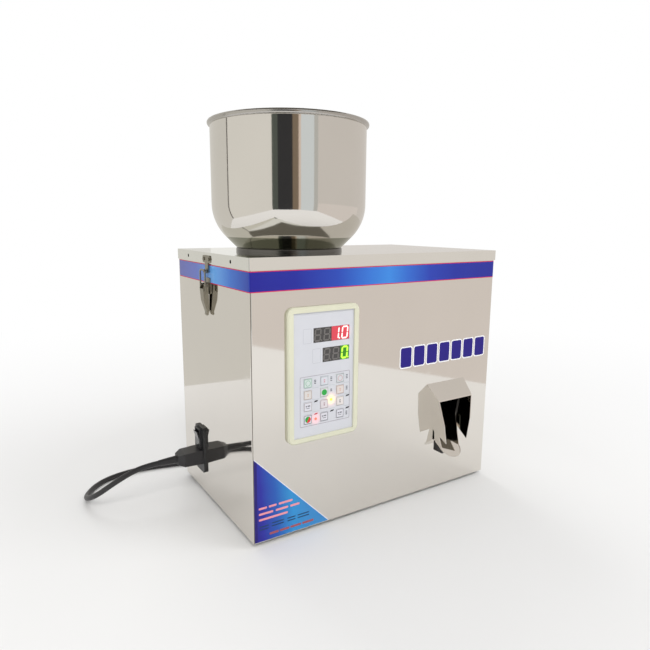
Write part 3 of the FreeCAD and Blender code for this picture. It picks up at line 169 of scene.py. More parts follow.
class Signal:
    """A value inside a node tree; sums and products on it add their Math nodes."""

    def __init__(self, owner, socket):
        self.owner, self.socket = owner, socket

    def other(self, output):
        """Another output of the node that this value comes from."""
        return Signal(self.owner, self.socket.node.outputs[output])

    def math(self, operation, *values):
        return self.owner.node("ShaderNodeMath", {"operation": operation}, values)

    def __add__(self, other):
        return self.math("ADD", self, other)

    __radd__ = __add__

    def __sub__(self, other):
        return self.math("SUBTRACT", self, other)

    def __rsub__(self, other):
        return self.math("SUBTRACT", other, self)

    def __mul__(self, other):
        return self.math("MULTIPLY", self, other)

    __rmul__ = __mul__

    def __truediv__(self, other):
        return self.math("DIVIDE", self, other)

    def __gt__(self, other):
        return self.math("GREATER_THAN", self, other)

    def __lt__(self, other):
        return self.math("LESS_THAN", self, other)

    def __abs__(self):
        return self.math("ABSOLUTE", self)

    def root(self):
        return self.math("SQRT", self)

    def larger(self, other):
        return self.math("MAXIMUM", self, other)

    def clipped(self):
        return self.owner.node("ShaderNodeClamp", {}, [self])


class Tree:
    """Node tree of a material or a world under construction; one method makes every node."""

    def __init__(self, owner):
        owner.use_nodes = True
        self.tree = owner.node_tree
        self.tree.nodes.clear()

    def node(self, kind, settings=None, values=(), output=0):
        made = self.tree.nodes.new(kind)
        for key, value in (settings or {}).items():
            if key == "stops":
                self.set_stops(made.color_ramp, value)
            else:
                setattr(made, key, value)
        pairs = values.items() if isinstance(values, dict) else enumerate(values)
        for key, value in pairs:
            self.feed(made.inputs[key], value)
        return Signal(self, made.outputs[output]) if made.outputs else None

    def feed(self, socket, value):
        if isinstance(value, Signal):
            self.tree.links.new(value.socket, socket)
        else:
            socket.default_value = value

    @staticmethod
    def set_stops(ramp, stops):
        while len(ramp.elements) < len(stops):
            ramp.elements.new(1.0)
        for element, (position, colour) in zip(ramp.elements, stops):
            element.position = position
            element.color = rgba(colour)


class Paint(Tree):
    """A node material under construction, with one Principled shader at its end."""

    def __init__(self, name):
        self.material = bpy.data.materials.new(name)
        super().__init__(self.material)

    def position(self):
        """Place on the piece as a vector, in metres of the shared frame."""
        return self.node("ShaderNodeTexCoord", output=3)

    def place(self):
        """Place on the piece as x, y and z signals and the vector."""
        vector = self.position()
        split = self.node("ShaderNodeSeparateXYZ", {}, [vector])
        return (*(split.other(axis) for axis in range(3)), vector)

    def stretched(self, vector, scale):
        return self.node("ShaderNodeVectorMath", {"operation": "MULTIPLY"}, [vector, scale])

    def noise(self, vector, scale, detail=3.0, roughness=0.5):
        values = {"Vector": vector, "Scale": scale, "Detail": detail, "Roughness": roughness}
        return self.node("ShaderNodeTexNoise", {}, values)

    def mix(self, factor, first, second):
        ends = [rgba(end) if isinstance(end, tuple) and len(end) == 3 else end for end in (first, second)]
        values = {0: factor, 6: ends[0], 7: ends[1]}
        return self.node("ShaderNodeMix", {"data_type": "RGBA"}, values, output=2)

    def varied(self, share, colour, least, most):
        """Colour that a noise moves between two strengths of it."""
        return self.mix(share, shade(colour, least), shade(colour, most))

    def ramp(self, factor, stops):
        return self.node("ShaderNodeValToRGB", {"stops": stops}, [factor])

    def bump(self, height, distance, strength=1.0):
        return self.node("ShaderNodeBump", {}, {"Strength": strength, "Distance": distance, "Height": height})

    def surface(self, **sockets):
        """Ends the material in a Principled shader; base_color stands for Base Color and so on."""
        values = {}
        for key, value in sockets.items():
            name = {"specular": "Specular IOR Level"}.get(key, key.replace("_", " ").title())
            values[name] = rgba(value) if isinstance(value, tuple) and len(value) == 3 else value
        shader = self.node("ShaderNodeBsdfPrincipled", {}, values)
        self.node("ShaderNodeOutputMaterial", {}, [shader])
        return self.material


# ---------------------------------------------------------------- settings
def colour_setting(name, description, default):
    return FloatVectorProperty(
        name=name, description=description, subtype="COLOR", default=default, min=0, max=1)


def length_setting(name, description, default):
    return FloatProperty(name=name, description=description, unit="LENGTH", default=default, min=0)


def number_setting(name, description, default):
    return FloatProperty(name=name, description=description, default=default, min=0)


def count_setting(name, description, default, least, most):
    return IntProperty(name=name, description=description, default=default, min=least, max=most)


class SteelSettings(bpy.types.PropertyGroup):
    sheet: colour_setting("Sheet", "Tone of the mirror-polished sheet", (0.76, 0.725, 0.675))
    lid: colour_setting("Lid", "Tone of the lid's brighter sheet", (0.81, 0.81, 0.765))
    bowl: colour_setting("Bowl", "Tone of the spun bowl", (0.74, 0.71, 0.665))
    latch: colour_setting("Latch", "Tone of the plated latches", (0.33, 0.305, 0.245))
    gloss: number_setting("Roughness", "Roughness of the polished sheet", 0.045)


class BowlSettings(bpy.types.PropertyGroup):
    wall: length_setting("Wall", "Thickness of the spun sheet", 0.0012)
    bead: length_setting("Rim bead", "Radius of the rolled rim", 0.0032)
    knuckle: length_setting("Knuckle", "Outside radius of the bend above the cone", 0.0586)
    bend_rise: length_setting("Bend height", "Height above the lid where the bend starts", 0.0599)
    neck: length_setting("Neck", "Outside radius of the outlet neck", 0.0195)
    neck_length: length_setting("Neck length", "Length of the outlet neck", 0.005)
    bend_steps: count_setting("Bend steps", "Facets across the bend", 10, 3, 32)
    steps: count_setting("Steps", "Facets round the bowl", 128, 24, 256)


class PrintSettings(bpy.types.PropertyGroup):
    band_low: length_setting("Band bottom", "Lower edge of the band above the case's edge", 0.2933)
    band_high: length_setting("Band top", "Upper edge of the band above the case's edge", 0.3165)
    band_line: length_setting("Band line", "Width of the thin lines along the band", 0.0011)
    line_colour: colour_setting("Lines", "Colour of the thin lines", srgb(196, 40, 86))
    label_width: length_setting("Label width", "Lower side of the corner label", 0.102)
    label_height: length_setting("Label height", "Upright side of the corner label", 0.104)
    label_edge: length_setting("Label edge", "Pale edge along the label's slant", 0.0012)
    label_rise: length_setting("Label rise", "Bare sheet under the label", 0.0008)


class SignSettings(bpy.types.PropertyGroup):
    left: length_setting("Left end", "Where the row of tiles starts, right of the middle", 0.0205)
    length: length_setting("Length", "Length of the row", 0.160)
    middle: length_setting("Middle", "Middle of the row above the case's edge", 0.1952)
    height: length_setting("Height", "Height of a tile", 0.0262)
    edge: length_setting("Edge", "Width of the pale edge", 0.0016)
    count: count_setting("Tiles", "Number of plain tiles", 7, 1, 20)
    ink: colour_setting("Ink", "Colour of the plain tiles", srgb(34, 22, 124))


class PanelSettings(bpy.types.PropertyGroup):
    red: colour_setting("Red digits", "Colour of the upper readout", (1.0, 0.03, 0.05))
    green: colour_setting("Green digits", "Colour of the lower readout", (0.25, 1.0, 0.02))
    digit_height: length_setting("Digit height", "Height of a lit figure", 0.0136)
    film: colour_setting("Film", "Colour of the printed key film", srgb(206, 208, 215))
    bezel: colour_setting("Bezel", "Colour of the moulded frame", srgb(215, 215, 192))


class LeadSettings(bpy.types.PropertyGroup):
    diameter: length_setting("Diameter", "Diameter of the mains lead", 0.007)
    length: length_setting("Length", "Length of the lead between connector and plug", 1.43)
    turn_points: count_setting("Points a turn", "Points of the line in one turn of the coil", 16, 12, 32)


class StageSettings(bpy.types.PropertyGroup):
    floor: colour_setting("Floor", "Colour of the floor", (0.82, 0.825, 0.83))
    wall: colour_setting("Cards", "Tone of the low card in front of the steel", srgb(228, 221, 216))
    sky: number_setting("Sky", "Strength of the light from all round", 0.68)
    key: number_setting("Key", "Power of the key light", 40.0)
    fill: number_setting("Fill", "Power of the fill light", 22.0)
    back: number_setting("Back", "Power of the back light", 18.0)


# ---------------------------------------------------------------- mesh helpers
def piece_from(name, mesh_builder, body, material, crease=None):
    """A mesh object filled by mesh_builder(bm), with outward faces, riding on a body.

    With a crease angle in degrees its faces are smooth except across sharper edges."""
    bm = bmesh.new()
    mesh_builder(bm)
    bmesh.ops.recalc_face_normals(bm, faces=bm.faces)
    mesh = bpy.data.meshes.new(name)
    bm.to_mesh(mesh)
    bm.free()
    made = bpy.data.objects.new(name, mesh)
    bpy.context.scene.collection.objects.link(made)
    made.data.materials.append(material)
    if crease:
        mesh.shade_smooth()
        mesh.set_sharp_from_angle(angle=math.radians(crease))
    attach(made, body)
    return made


class Wall:
    """A flat face that films lie on: across and up are its directions, out its normal."""

    def __init__(self, origin, across, out, up=(0, 0, 1)):
        self.origin, self.across = Vector(origin), Vector(across)
        self.out, self.up = Vector(out), Vector(up)

    def at(self, u, v, height=0.0):
        return self.origin + self.across * u + self.up * v + self.out * height


def front_of(node):
    """Front of a node as a wall for films."""
    return Wall((0, low(node).y, CASE_Z), (1, 0, 0), (0, -1, 0))


FRONT, OVERLAY = front_of("body_shell"), front_of("panel_overlay")


def add_plate(bm, wall, outline, bottom, top):
    """Closed plate of an outline of (u, v) points between two heights off a wall."""
    rings = [[bm.verts.new(wall.at(u, v, h)) for u, v in outline] for h in (bottom, top)]
    bm.faces.new(rings[0])
    bm.faces.new(rings[1])
    count = len(outline)
    for i in range(count):
        j = (i + 1) % count
        bm.faces.new((rings[0][i], rings[0][j], rings[1][j], rings[1][i]))


def add_ring_plate(bm, wall, outer, inner, bottom, top):
    """Closed plate between two outlines of equally many points."""
    loops = [
        [bm.verts.new(wall.at(u, v, h)) for u, v in outline]
        for h in (bottom, top) for outline in (outer, inner)
    ]
    low_out, low_in, top_out, top_in = loops
    count = len(outer)
    for i in range(count):
        j = (i + 1) % count
        bm.faces.new((low_out[i], low_out[j], low_in[j], low_in[i]))
        bm.faces.new((top_out[i], top_out[j], top_in[j], top_in[i]))
        bm.faces.new((low_out[i], low_out[j], top_out[j], top_out[i]))
        bm.faces.new((low_in[i], low_in[j], top_in[j], top_in[i]))


def rounded(cx, cy, width, height, radius, steps=5):
    """Outline of a rectangle with round corners."""
    points = []
    for corner in range(4):
        sx = 1 if corner in (0, 3) else -1
        sy = 1 if corner in (0, 1) else -1
        for step in range(steps + 1):
            angle = math.radians(90 * corner + 90 * step / steps)
            points.append((
                cx + sx * (width / 2 - radius) + radius * math.cos(angle),
                cy + sy * (height / 2 - radius) + radius * math.sin(angle),
            ))
    return points


def circle(cx, cy, radius, steps=24):
    turn = 2 * math.pi / steps
    return [(cx + radius * math.cos(i * turn), cy + radius * math.sin(i * turn)) for i in range(steps)]


def slanted(cx, cy, width, height):
    """Small lozenge mark that leans to the right."""
    w, h, lean = width / 2, height / 2, height * 0.3
    shoulder = h * 0.6
    return [(cx - w - lean, cy - h), (cx + w - lean, cy - shoulder),
            (cx + w + lean, cy + h), (cx - w + lean, cy + shoulder)]


def half_disc(cx, cy, radius, start, steps=12):
    turns = [math.radians(start + 180 * i / steps) for i in range(steps + 1)]
    return [(cx + radius * math.cos(a), cy + radius * math.sin(a)) for a in turns]


def seven_bars(cx, cy, height, width=1.25, lean=0.10):
    """Outlines of the seven bars of a figure, by their usual letters."""
    tall, wide, half = height / 2, height * 0.27, height * 0.05 * width
    ends = {
        "a": ((-wide, tall), (wide, tall)), "b": ((wide, tall), (wide, 0)),
        "c": ((wide, 0), (wide, -tall)), "d": ((-wide, -tall), (wide, -tall)),
        "e": ((-wide, -tall), (-wide, 0)), "f": ((-wide, 0), (-wide, tall)),
        "g": ((-wide, 0), (wide, 0)),
    }
    bars = {}
    for name, ((x0, y0), (x1, y1)) in ends.items():
        along = Vector((x1 - x0, y1 - y0)).normalized()
        side = Vector((-along.y, along.x)) * half
        start, end = Vector((x0, y0)) + along * half * 0.5, Vector((x1, y1)) - along * half * 0.5
        tip = along * half
        outline = [start - tip * 0.2, start + tip * 0.6 + side, end - tip * 0.6 + side, end + tip * 0.2,
                   end - tip * 0.6 - side, start + tip * 0.6 - side]
        bars[name] = [(cx + p.x + p.y * lean, cy + p.y) for p in outline]
    return bars


def level_square(half, height):
    return [(-half, -half, height), (half, -half, height), (half, half, height), (-half, half, height)]


def sheet_of(name, corners, material):
    """One flat four-cornered face for the stage."""
    mesh = bpy.data.meshes.new(name)
    mesh.from_pydata(corners, [], [tuple(range(len(corners)))])
    mesh.materials.append(material)
    made = bpy.data.objects.new(name, mesh)
    bpy.context.scene.collection.objects.link(made)
    return made


def card_material(name, colour):
    """Card of an even tone, which gives off its own light."""
    black = (0.0, 0.0, 0.0)
    return Paint(name).surface(
        base_color=black, roughness=1.0, emission_color=colour, emission_strength=1.0)


def mirrored_only(card):
    """A card of the stage that shows in the steel alone, and neither lights nor shades anything."""
    card.visible_camera = card.visible_diffuse = card.visible_shadow = card.visible_transmission = False


def films(name, wall, outlines, body, material, top=FILM):
    """One piece made of flat printed shapes on a wall."""
    def build(bm):
        for outline in outlines:
            add_plate(bm, wall, outline, 0.0, top)
    piece_from(name, build, body, material)


def film_ring(name, wall, outer, inner, body, material, top=FILM):
    """One thin printed frame on a wall."""
    def build(bm):
        add_ring_plate(bm, wall, outer, inner, 0.0, top)
    piece_from(name, build, body, material)


def spin(profile, cx, cy, steps):
    """Mesh builder that turns a closed outline of (radius, z) points round an upright axis."""
    def build(bm):
        rings = []
        for step in range(steps):
            angle = 2 * math.pi * step / steps
            c, s = math.cos(angle), math.sin(angle)
            rings.append([bm.verts.new((cx + r * c, cy + r * s, z)) for r, z in profile])
        count = len(profile)
        for i in range(steps):
            here, there = rings[i], rings[(i + 1) % steps]
            for j in range(count):
                k = (j + 1) % count
                bm.faces.new((here[j], here[k], there[k], there[j]))
    return build


def arc(cx, cz, radius, start, end, steps):
    """Points of an arc in the (radius, z) plane, angles in degrees."""
    angles = [math.radians(start + (end - start) * i / steps) for i in range(steps + 1)]
    return [(cx + radius * math.cos(a), cz + radius * math.sin(a)) for a in angles]


def coat(material, *nodes):
    """Gives construction nodes their finish."""
    for name in nodes:
        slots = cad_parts[name].data.materials
        slots.clear()
        slots.append(material)


def corner_arc(side, steps=6):
    """Points and outward directions round an upright front corner of the case, in plan."""
    cx, cy = (LEFT_X + CORNER if side < 0 else RIGHT_X - CORNER), FRONT_Y + CORNER
    start = math.pi if side < 0 else -math.pi / 2
    angles = [start + math.pi / 2 * i / steps for i in range(steps + 1)]
    outwards = [(math.cos(angle), math.sin(angle)) for angle in angles]
    return [((cx + CORNER * ox, cy + CORNER * oy), (ox, oy)) for ox, oy in outwards]


def sides(name):
    """Both of a pair of nodes, left and right."""
    return [f"{name}_left", f"{name}_right"]


# ---------------------------------------------------------------- finishes
def polished_steel(name, colour, roughness, wave=0.0003):
    """Mirror-polished sheet: cloudy handling marks, a very slight waviness, fine wipe lines."""
    paint = Paint(name)
    vector = paint.position()
    cloud = paint.noise(vector, 9.0, 3.0)
    wipes = paint.noise(paint.stretched(vector, (14.0, 14.0, 900.0)), 1.0, 2.0)
    smudge = paint.noise(vector, 38.0, 4.0, 0.62)
    marks = ((smudge - 0.56) * 6.0).clipped()
    tone = paint.varied(cloud, colour, 0.965, 1.03)
    return paint.surface(
        base_color=tone, metallic=1.0,
        roughness=marks * 0.05 + wipes * 0.025 + (roughness - 0.01),
        normal=paint.bump(paint.noise(vector, 5.0, 1.0), wave, 0.35))


def spun_steel(name, colour, roughness, painted_shade_below=None, painted_reflection_above=None):
    """Spun and polished bowl: faint rings from the tool, painted shade on the cone, and on the rolled rim a
    painted darker reflection with rougher steel.
    """
    paint = Paint(name)
    _, _, z, vector = paint.place()
    rings = paint.noise(paint.stretched(vector, (2.0, 2.0, 1500.0)), 1.0, 2.0)
    cloud = paint.noise(vector, 12.0, 3.0)
    tone = paint.varied(cloud, colour, 0.96, 1.03)
    rough = rings * 0.05 + cloud * 0.02 + roughness
    if painted_shade_below:
        # Painted shade and reflection: below the bend the cone's steel is painted dark, and above its line
        # the rolled rim is painted a darker grey as a dim reflection; the rim's steel is also rougher
        cone_shade_mask, rim = z < painted_shade_below, z > painted_reflection_above
        painted_cone_shade, painted_rim_reflection = (0.31, 0.31, 0.26), shade(colour, 0.66)
        tone = paint.mix(rim, paint.mix(cone_shade_mask, tone, painted_cone_shade), painted_rim_reflection)
        rough = rough + rim * 0.12
    return paint.surface(
        base_color=tone, metallic=1.0, roughness=rough, normal=paint.bump(rings, 0.000004, 0.4))


def plated_steel(name, colour, roughness=0.26):
    """Nickel or zinc plating: blotchy tone and tiny pits."""
    paint = Paint(name)
    vector = paint.position()
    blotch = paint.noise(vector, 130.0, 4.0, 0.6)
    pits = paint.noise(vector, 900.0, 2.0)
    tone = paint.varied(blotch, colour, 0.72, 1.18)
    return paint.surface(
        base_color=tone, metallic=1.0, roughness=blotch * 0.16 + roughness,
        normal=paint.bump(pits, 0.00002, 0.3))


def moulded(name, colour, roughness=0.42, grain=700.0, depth=0.00002, **more):
    """Moulded plastic: fine grain and a slight change of tone."""
    paint = Paint(name)
    vector = paint.position()
    speck = paint.noise(vector, grain, 3.0)
    drift = paint.noise(vector, 22.0, 3.0)
    tone = paint.varied(drift, colour, 0.93, 1.05)
    return paint.surface(
        base_color=tone, roughness=drift * 0.08 + speck * 0.06 + (roughness - 0.07),
        normal=paint.bump(speck, depth, 0.35), **more)


def lit(name, colour, strength):
    """Lit lamp or figure: a slightly uneven glow over a dark body colour."""
    paint = Paint(name)
    vector = paint.position()
    uneven = paint.noise(vector, 240.0, 2.0)
    glow = paint.varied(uneven, colour, 0.9, 1.0)
    return paint.surface(
        base_color=shade(colour, 0.4), roughness=0.3, emission_color=glow, emission_strength=strength)


def printed(name, base, roughness=0.28):
    """Plain ink on film, with the slight mottle of screen printing."""
    paint = Paint(name)
    vector = paint.position()
    mottle = paint.noise(vector, 420.0, 3.0)
    tone = paint.varied(mottle, base, 0.94, 1.05)
    return paint.surface(base_color=tone, roughness=mottle * 0.08 + roughness, specular=0.22)


def band_print(name, axis, start, end, stops, settings):
    """Printed band: a run of blues along the wall, whose lighter stretch is a painted highlight, with a thin
    line at each edge.
    """
    paint = Paint(name)
    *axes, vector = paint.place()
    along, z = axes[axis], axes[2]
    share = ((along - start) / (end - start)).clipped()
    # The ramp holds the band's blues together with a painted highlight in them
    blues = paint.ramp(share, stops)
    veil = paint.noise(vector, 16.0, 2.0)
    blues = paint.mix(veil * 0.12, blues, srgb(60, 104, 190))
    half = (settings.band_high - settings.band_low) / 2
    middle = CASE_Z + settings.band_low + half
    edge = abs(z - middle) > (half - settings.band_line)
    ink = paint.mix(edge, blues, tuple(settings.line_colour))
    return paint.surface(base_color=ink, roughness=veil * 0.06 + 0.2, specular=0.2)


# ---------------------------------------------------------------- operators
class FILLER_OT_polish_steel(bpy.types.Operator):
    """Give case, lid, hood, chute and latches their polished and plated finishes"""
    bl_idname = "filler.polish_steel"
    bl_label = "Polish the steel"

    def execute(self, context):
        steel = context.scene.filler_steel
        sheet_colour = tuple(steel.sheet)
        mirror = polished_steel("polished_sheet", sheet_colour, steel.gloss)
        coat(mirror, "body_shell", "outlet_hood", "outlet_chute")
        coat(polished_steel("lid_sheet", tuple(steel.lid), steel.gloss + 0.03), "lid")
        parts = ("latch_catch", "latch_base", "latch_lever", "latch_bail")
        latches = [name for part in parts for name in sides(part)]
        coat(plated_steel("latch_plating", tuple(steel.latch)), *latches)
        coat(polished_steel("satin_sheet", shade(sheet_colour, 0.86), 0.24),
             "rear_panel", "base_pan", "chute_stand", "left_upright", "right_upright",
             "weigh_bucket", "bucket_flap")
        coat(plated_steel("screw_plating", (0.62, 0.62, 0.60), 0.2), "rear_screws")
        self.mark_seam(context.scene.filler_print.band_low)
        return {"FINISHED"}

    @staticmethod
    def mark_seam(top):
        """Painted shadow along the joint where the left end meets the front's return."""
        left, right = LEFT_X + 0.0002, LEFT_X + 0.0011
        strip = [(left, 0.0006), (right, 0.0006), (right, top), (left, top)]
        shadow = printed("seam_shadow", srgb(98, 93, 86), 0.5)
        films("corner_seam_shadow", FRONT, [strip], "case", shadow, top=FILM / 2)


class FILLER_OT_spin_hopper(bpy.types.Operator):
    """Spin the smooth bowl and its seat ring over their construction solids"""
    bl_idname = "filler.spin_hopper"
    bl_label = "Spin the hopper"

    def execute(self, context):
        bowl, colour = context.scene.filler_bowl, tuple(context.scene.filler_steel.bowl)
        lowest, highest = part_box("hopper_bowl")
        cx, cy = (lowest.x + highest.x) / 2, (lowest.y + highest.y) / 2
        outside = (highest.x - lowest.x) / 2 - bowl.bead
        made = piece_from(
            "spun_bowl", spin(self.bowl_profile(bowl, outside, lowest.z, highest.z), cx, cy, bowl.steps),
            "hopper", self.finish(bowl, colour, highest.z), crease=40)
        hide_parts("hopper_bowl")
        # The seat ring's steel is darkened to a fifth of the bowl's tone: painted shade under the bowl's bend
        seat = piece_from(
            "seat_ring", spin(self.ring_profile(bowl, outside), cx, cy, bowl.steps),
            "lid", spun_steel("seat_ring_painted_shade", shade(colour, 0.2), 0.22), crease=40)
        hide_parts("hopper_collar")
        return {"FINISHED"}

    @staticmethod
    def finish(bowl, colour, top_z):
        """Steel of the bowl, with painted shade below its bend and a painted darker reflection on the rolled
        rim.
        """
        cone_top = high("lid").z + bowl.bend_rise - bowl.knuckle * math.sqrt(0.5)
        return spun_steel("spun_steel", colour, 0.03, cone_top, top_z - 2 * bowl.bead)

    @staticmethod
    def bowl_profile(bowl, outside, neck_z, top_z):
        """Neck, 45 degree cone, bend, upright wall and rolled rim, outside then inside."""
        bend_z = high("lid").z + bowl.bend_rise
        centre, rim_z = outside - bowl.knuckle, top_z - bowl.bead
        outer = [(bowl.neck, neck_z), (bowl.neck, neck_z + bowl.neck_length)]
        outer += arc(centre, bend_z, bowl.knuckle, -45, 0, bowl.bend_steps)
        bead = arc(outside, rim_z, bowl.bead, -90, 112, 12)
        inner = arc(centre, bend_z, bowl.knuckle - bowl.wall, 0, -45, bowl.bend_steps)
        inside, lift = bowl.neck - bowl.wall, bowl.wall * (math.sqrt(2) - 1)
        inner += [(inside, neck_z + bowl.neck_length + lift), (inside, neck_z)]
        return outer + bead + inner

    @staticmethod
    def ring_profile(bowl, outside):
        """Rounded seat ring whose bore follows the bowl's cone."""
        ring_low, ring_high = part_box("hopper_collar")
        outer = (ring_high.x - ring_low.x) / 2
        diagonal = bowl.knuckle * math.sqrt(0.5)
        reach = outside - bowl.knuckle + diagonal
        drop = bowl.bend_rise - diagonal
        bore = reach - drop + 0.0001
        rise, ease = ring_high.z - ring_low.z, 0.0015
        top = arc(outer - ease, ring_high.z - ease, ease, 0, 90, 5)
        return [(bore, ring_low.z), (outer, ring_low.z), *top, (bore + rise, ring_high.z)]


class FILLER_OT_print_band(bpy.types.Operator):
    """Lay the blue band with its two thin lines round front and ends"""
    bl_idname = "filler.print_band"
    bl_label = "Print the band"

    def execute(self, context):
        prints = context.scene.filler_print
        # Each run of blues has a lighter stretch in its middle that is a painted highlight on the film
        front = [(0.0, srgb(36, 29, 138)), (0.15, srgb(36, 38, 146)), (0.3, srgb(42, 70, 172)),
                 (0.42, srgb(54, 114, 204)), (0.5, srgb(60, 134, 216)), (0.58, srgb(50, 102, 196)),
                 (0.68, srgb(40, 58, 166)), (0.8, srgb(34, 42, 150)), (1.0, srgb(32, 32, 140))]
        end = [(0.0, srgb(40, 60, 160)), (0.22, srgb(58, 112, 200)), (0.45, srgb(104, 170, 234)),
               (0.7, srgb(98, 112, 190)), (1.0, srgb(92, 96, 170))]
        left, right = corner_arc(-1), corner_arc(1)
        half = len(left) // 2
        front_path = left[half:] + right[:half + 1]
        left_path = [((LEFT_X, BACK_Y - BARE_EDGE), (-1, 0))] + left[:half + 1]
        right_path = right[half:] + [((RIGHT_X, BACK_Y - BARE_EDGE), (1, 0))]
        for name, path, axis, start, stop, blues in (
            ("band_front", front_path, 0, LEFT_X, RIGHT_X, front),
            ("band_left", left_path, 1, FRONT_Y, BACK_Y, end),
            ("band_right", right_path, 1, FRONT_Y, BACK_Y, end),
        ):
            self.lay(name, path, band_print(f"{name}_ink", axis, start, stop, blues, prints), prints)
        return {"FINISHED"}

    @staticmethod
    def lay(name, path, ink, prints):
        """Strip of film that follows a path of (point, outward direction) in plan."""
        foot, top = prints.band_low, prints.band_high
        corners = ((0.0, foot), (FILM, foot), (FILM, top), (0.0, top))

        def build(bm):
            loops = []
            for (px, py), (ox, oy) in path:
                loops.append([bm.verts.new((px + ox * h, py + oy * h, CASE_Z + v)) for h, v in corners])
            for here, there in zip(loops, loops[1:]):
                for k in range(len(corners)):
                    n = (k + 1) % len(corners)
                    bm.faces.new((here[k], here[n], there[n], there[k]))
            bm.faces.new(loops[0])
            bm.faces.new(loops[-1])
        piece_from(name, build, "case", ink, crease=30)


class FILLER_OT_print_label(bpy.types.Operator):
    """Print the three-cornered label at the foot of the front, with plain bars on it"""
    bl_idname = "filler.print_label"
    bl_label = "Print the corner label"

    def execute(self, context):
        prints = context.scene.filler_print
        wide, tall = prints.label_width, prints.label_height
        x0, z0, edge = LEFT_X + BARE_EDGE, prints.label_rise, prints.label_edge
        border = [(x0, z0), (x0 + wide, z0), (x0, z0 + tall)]
        films("label_border", FRONT, [border], "case",
              printed("label_border_ink", srgb(228, 230, 240)), top=FILM / 2)
        inner = [(x0, z0), (x0 + wide - edge, z0), (x0, z0 + tall - edge)]
        films("corner_label", FRONT, [inner], "case", self.ground(x0, z0 + CASE_Z, wide, tall))
        for name, ink, tint, height, rows in LABEL_BARS:
            bars = [self.bar(x0 + u, z0 + v, length, height) for u, v, length in rows]
            films(name, FRONT, bars, "case", printed(ink, srgb(*tint)), top=FILM * 1.4)
        return {"FINISHED"}

    @staticmethod
    def bar(left, middle, length, height):
        return rounded(left + length / 2, middle, length, height, height * 0.3, 2)

    @staticmethod
    def ground(x0, z0, wide, tall):
        """Indigo at the upright edge and foot, running to a bright blue along the slant."""
        paint = Paint("label_ink")
        x, _, z, vector = paint.place()
        across, up = (x - x0) / wide, (z - z0) / tall
        veil = paint.noise(vector, 24.0, 2.0)
        run = (across * 1.45 + up * 0.12 + veil * 0.12 - 0.06).clipped()
        blues = paint.ramp(run, [
            (0.0, srgb(42, 34, 130)), (0.2, srgb(48, 52, 156)), (0.45, srgb(46, 92, 176)),
            (0.75, srgb(54, 142, 204)), (1.0, srgb(62, 136, 198))])
        margin = across < 0.035
        ink = paint.mix(margin, blues, srgb(42, 34, 112))
        return paint.surface(base_color=ink, roughness=veil * 0.08 + 0.2, specular=0.2)


class FILLER_OT_print_sign(bpy.types.Operator):
    """Print a row of seven plain tiles with pale edges high on the front"""
    bl_idname = "filler.print_sign"
    bl_label = "Print the sign"

    def execute(self, context):
        sign = context.scene.filler_sign
        pitch, margin = sign.length / sign.count, 2 * sign.edge
        size = pitch * 0.80
        pale, ink = [], []
        for n in range(sign.count):
            u = sign.left + pitch * (n + 0.5)
            pale.append(rounded(u, sign.middle, size + margin, sign.height + margin, 0.004))
            ink.append(rounded(u, sign.middle, size, sign.height, 0.0028))
        edge_ink = printed("sign_edge_ink", srgb(240, 240, 244))
        films("sign_edges", FRONT, pale, "case", edge_ink, top=FILM / 2)
        films("sign_tiles", FRONT, ink, "case", printed("sign_ink", tuple(sign.ink)))
        return {"FINISHED"}


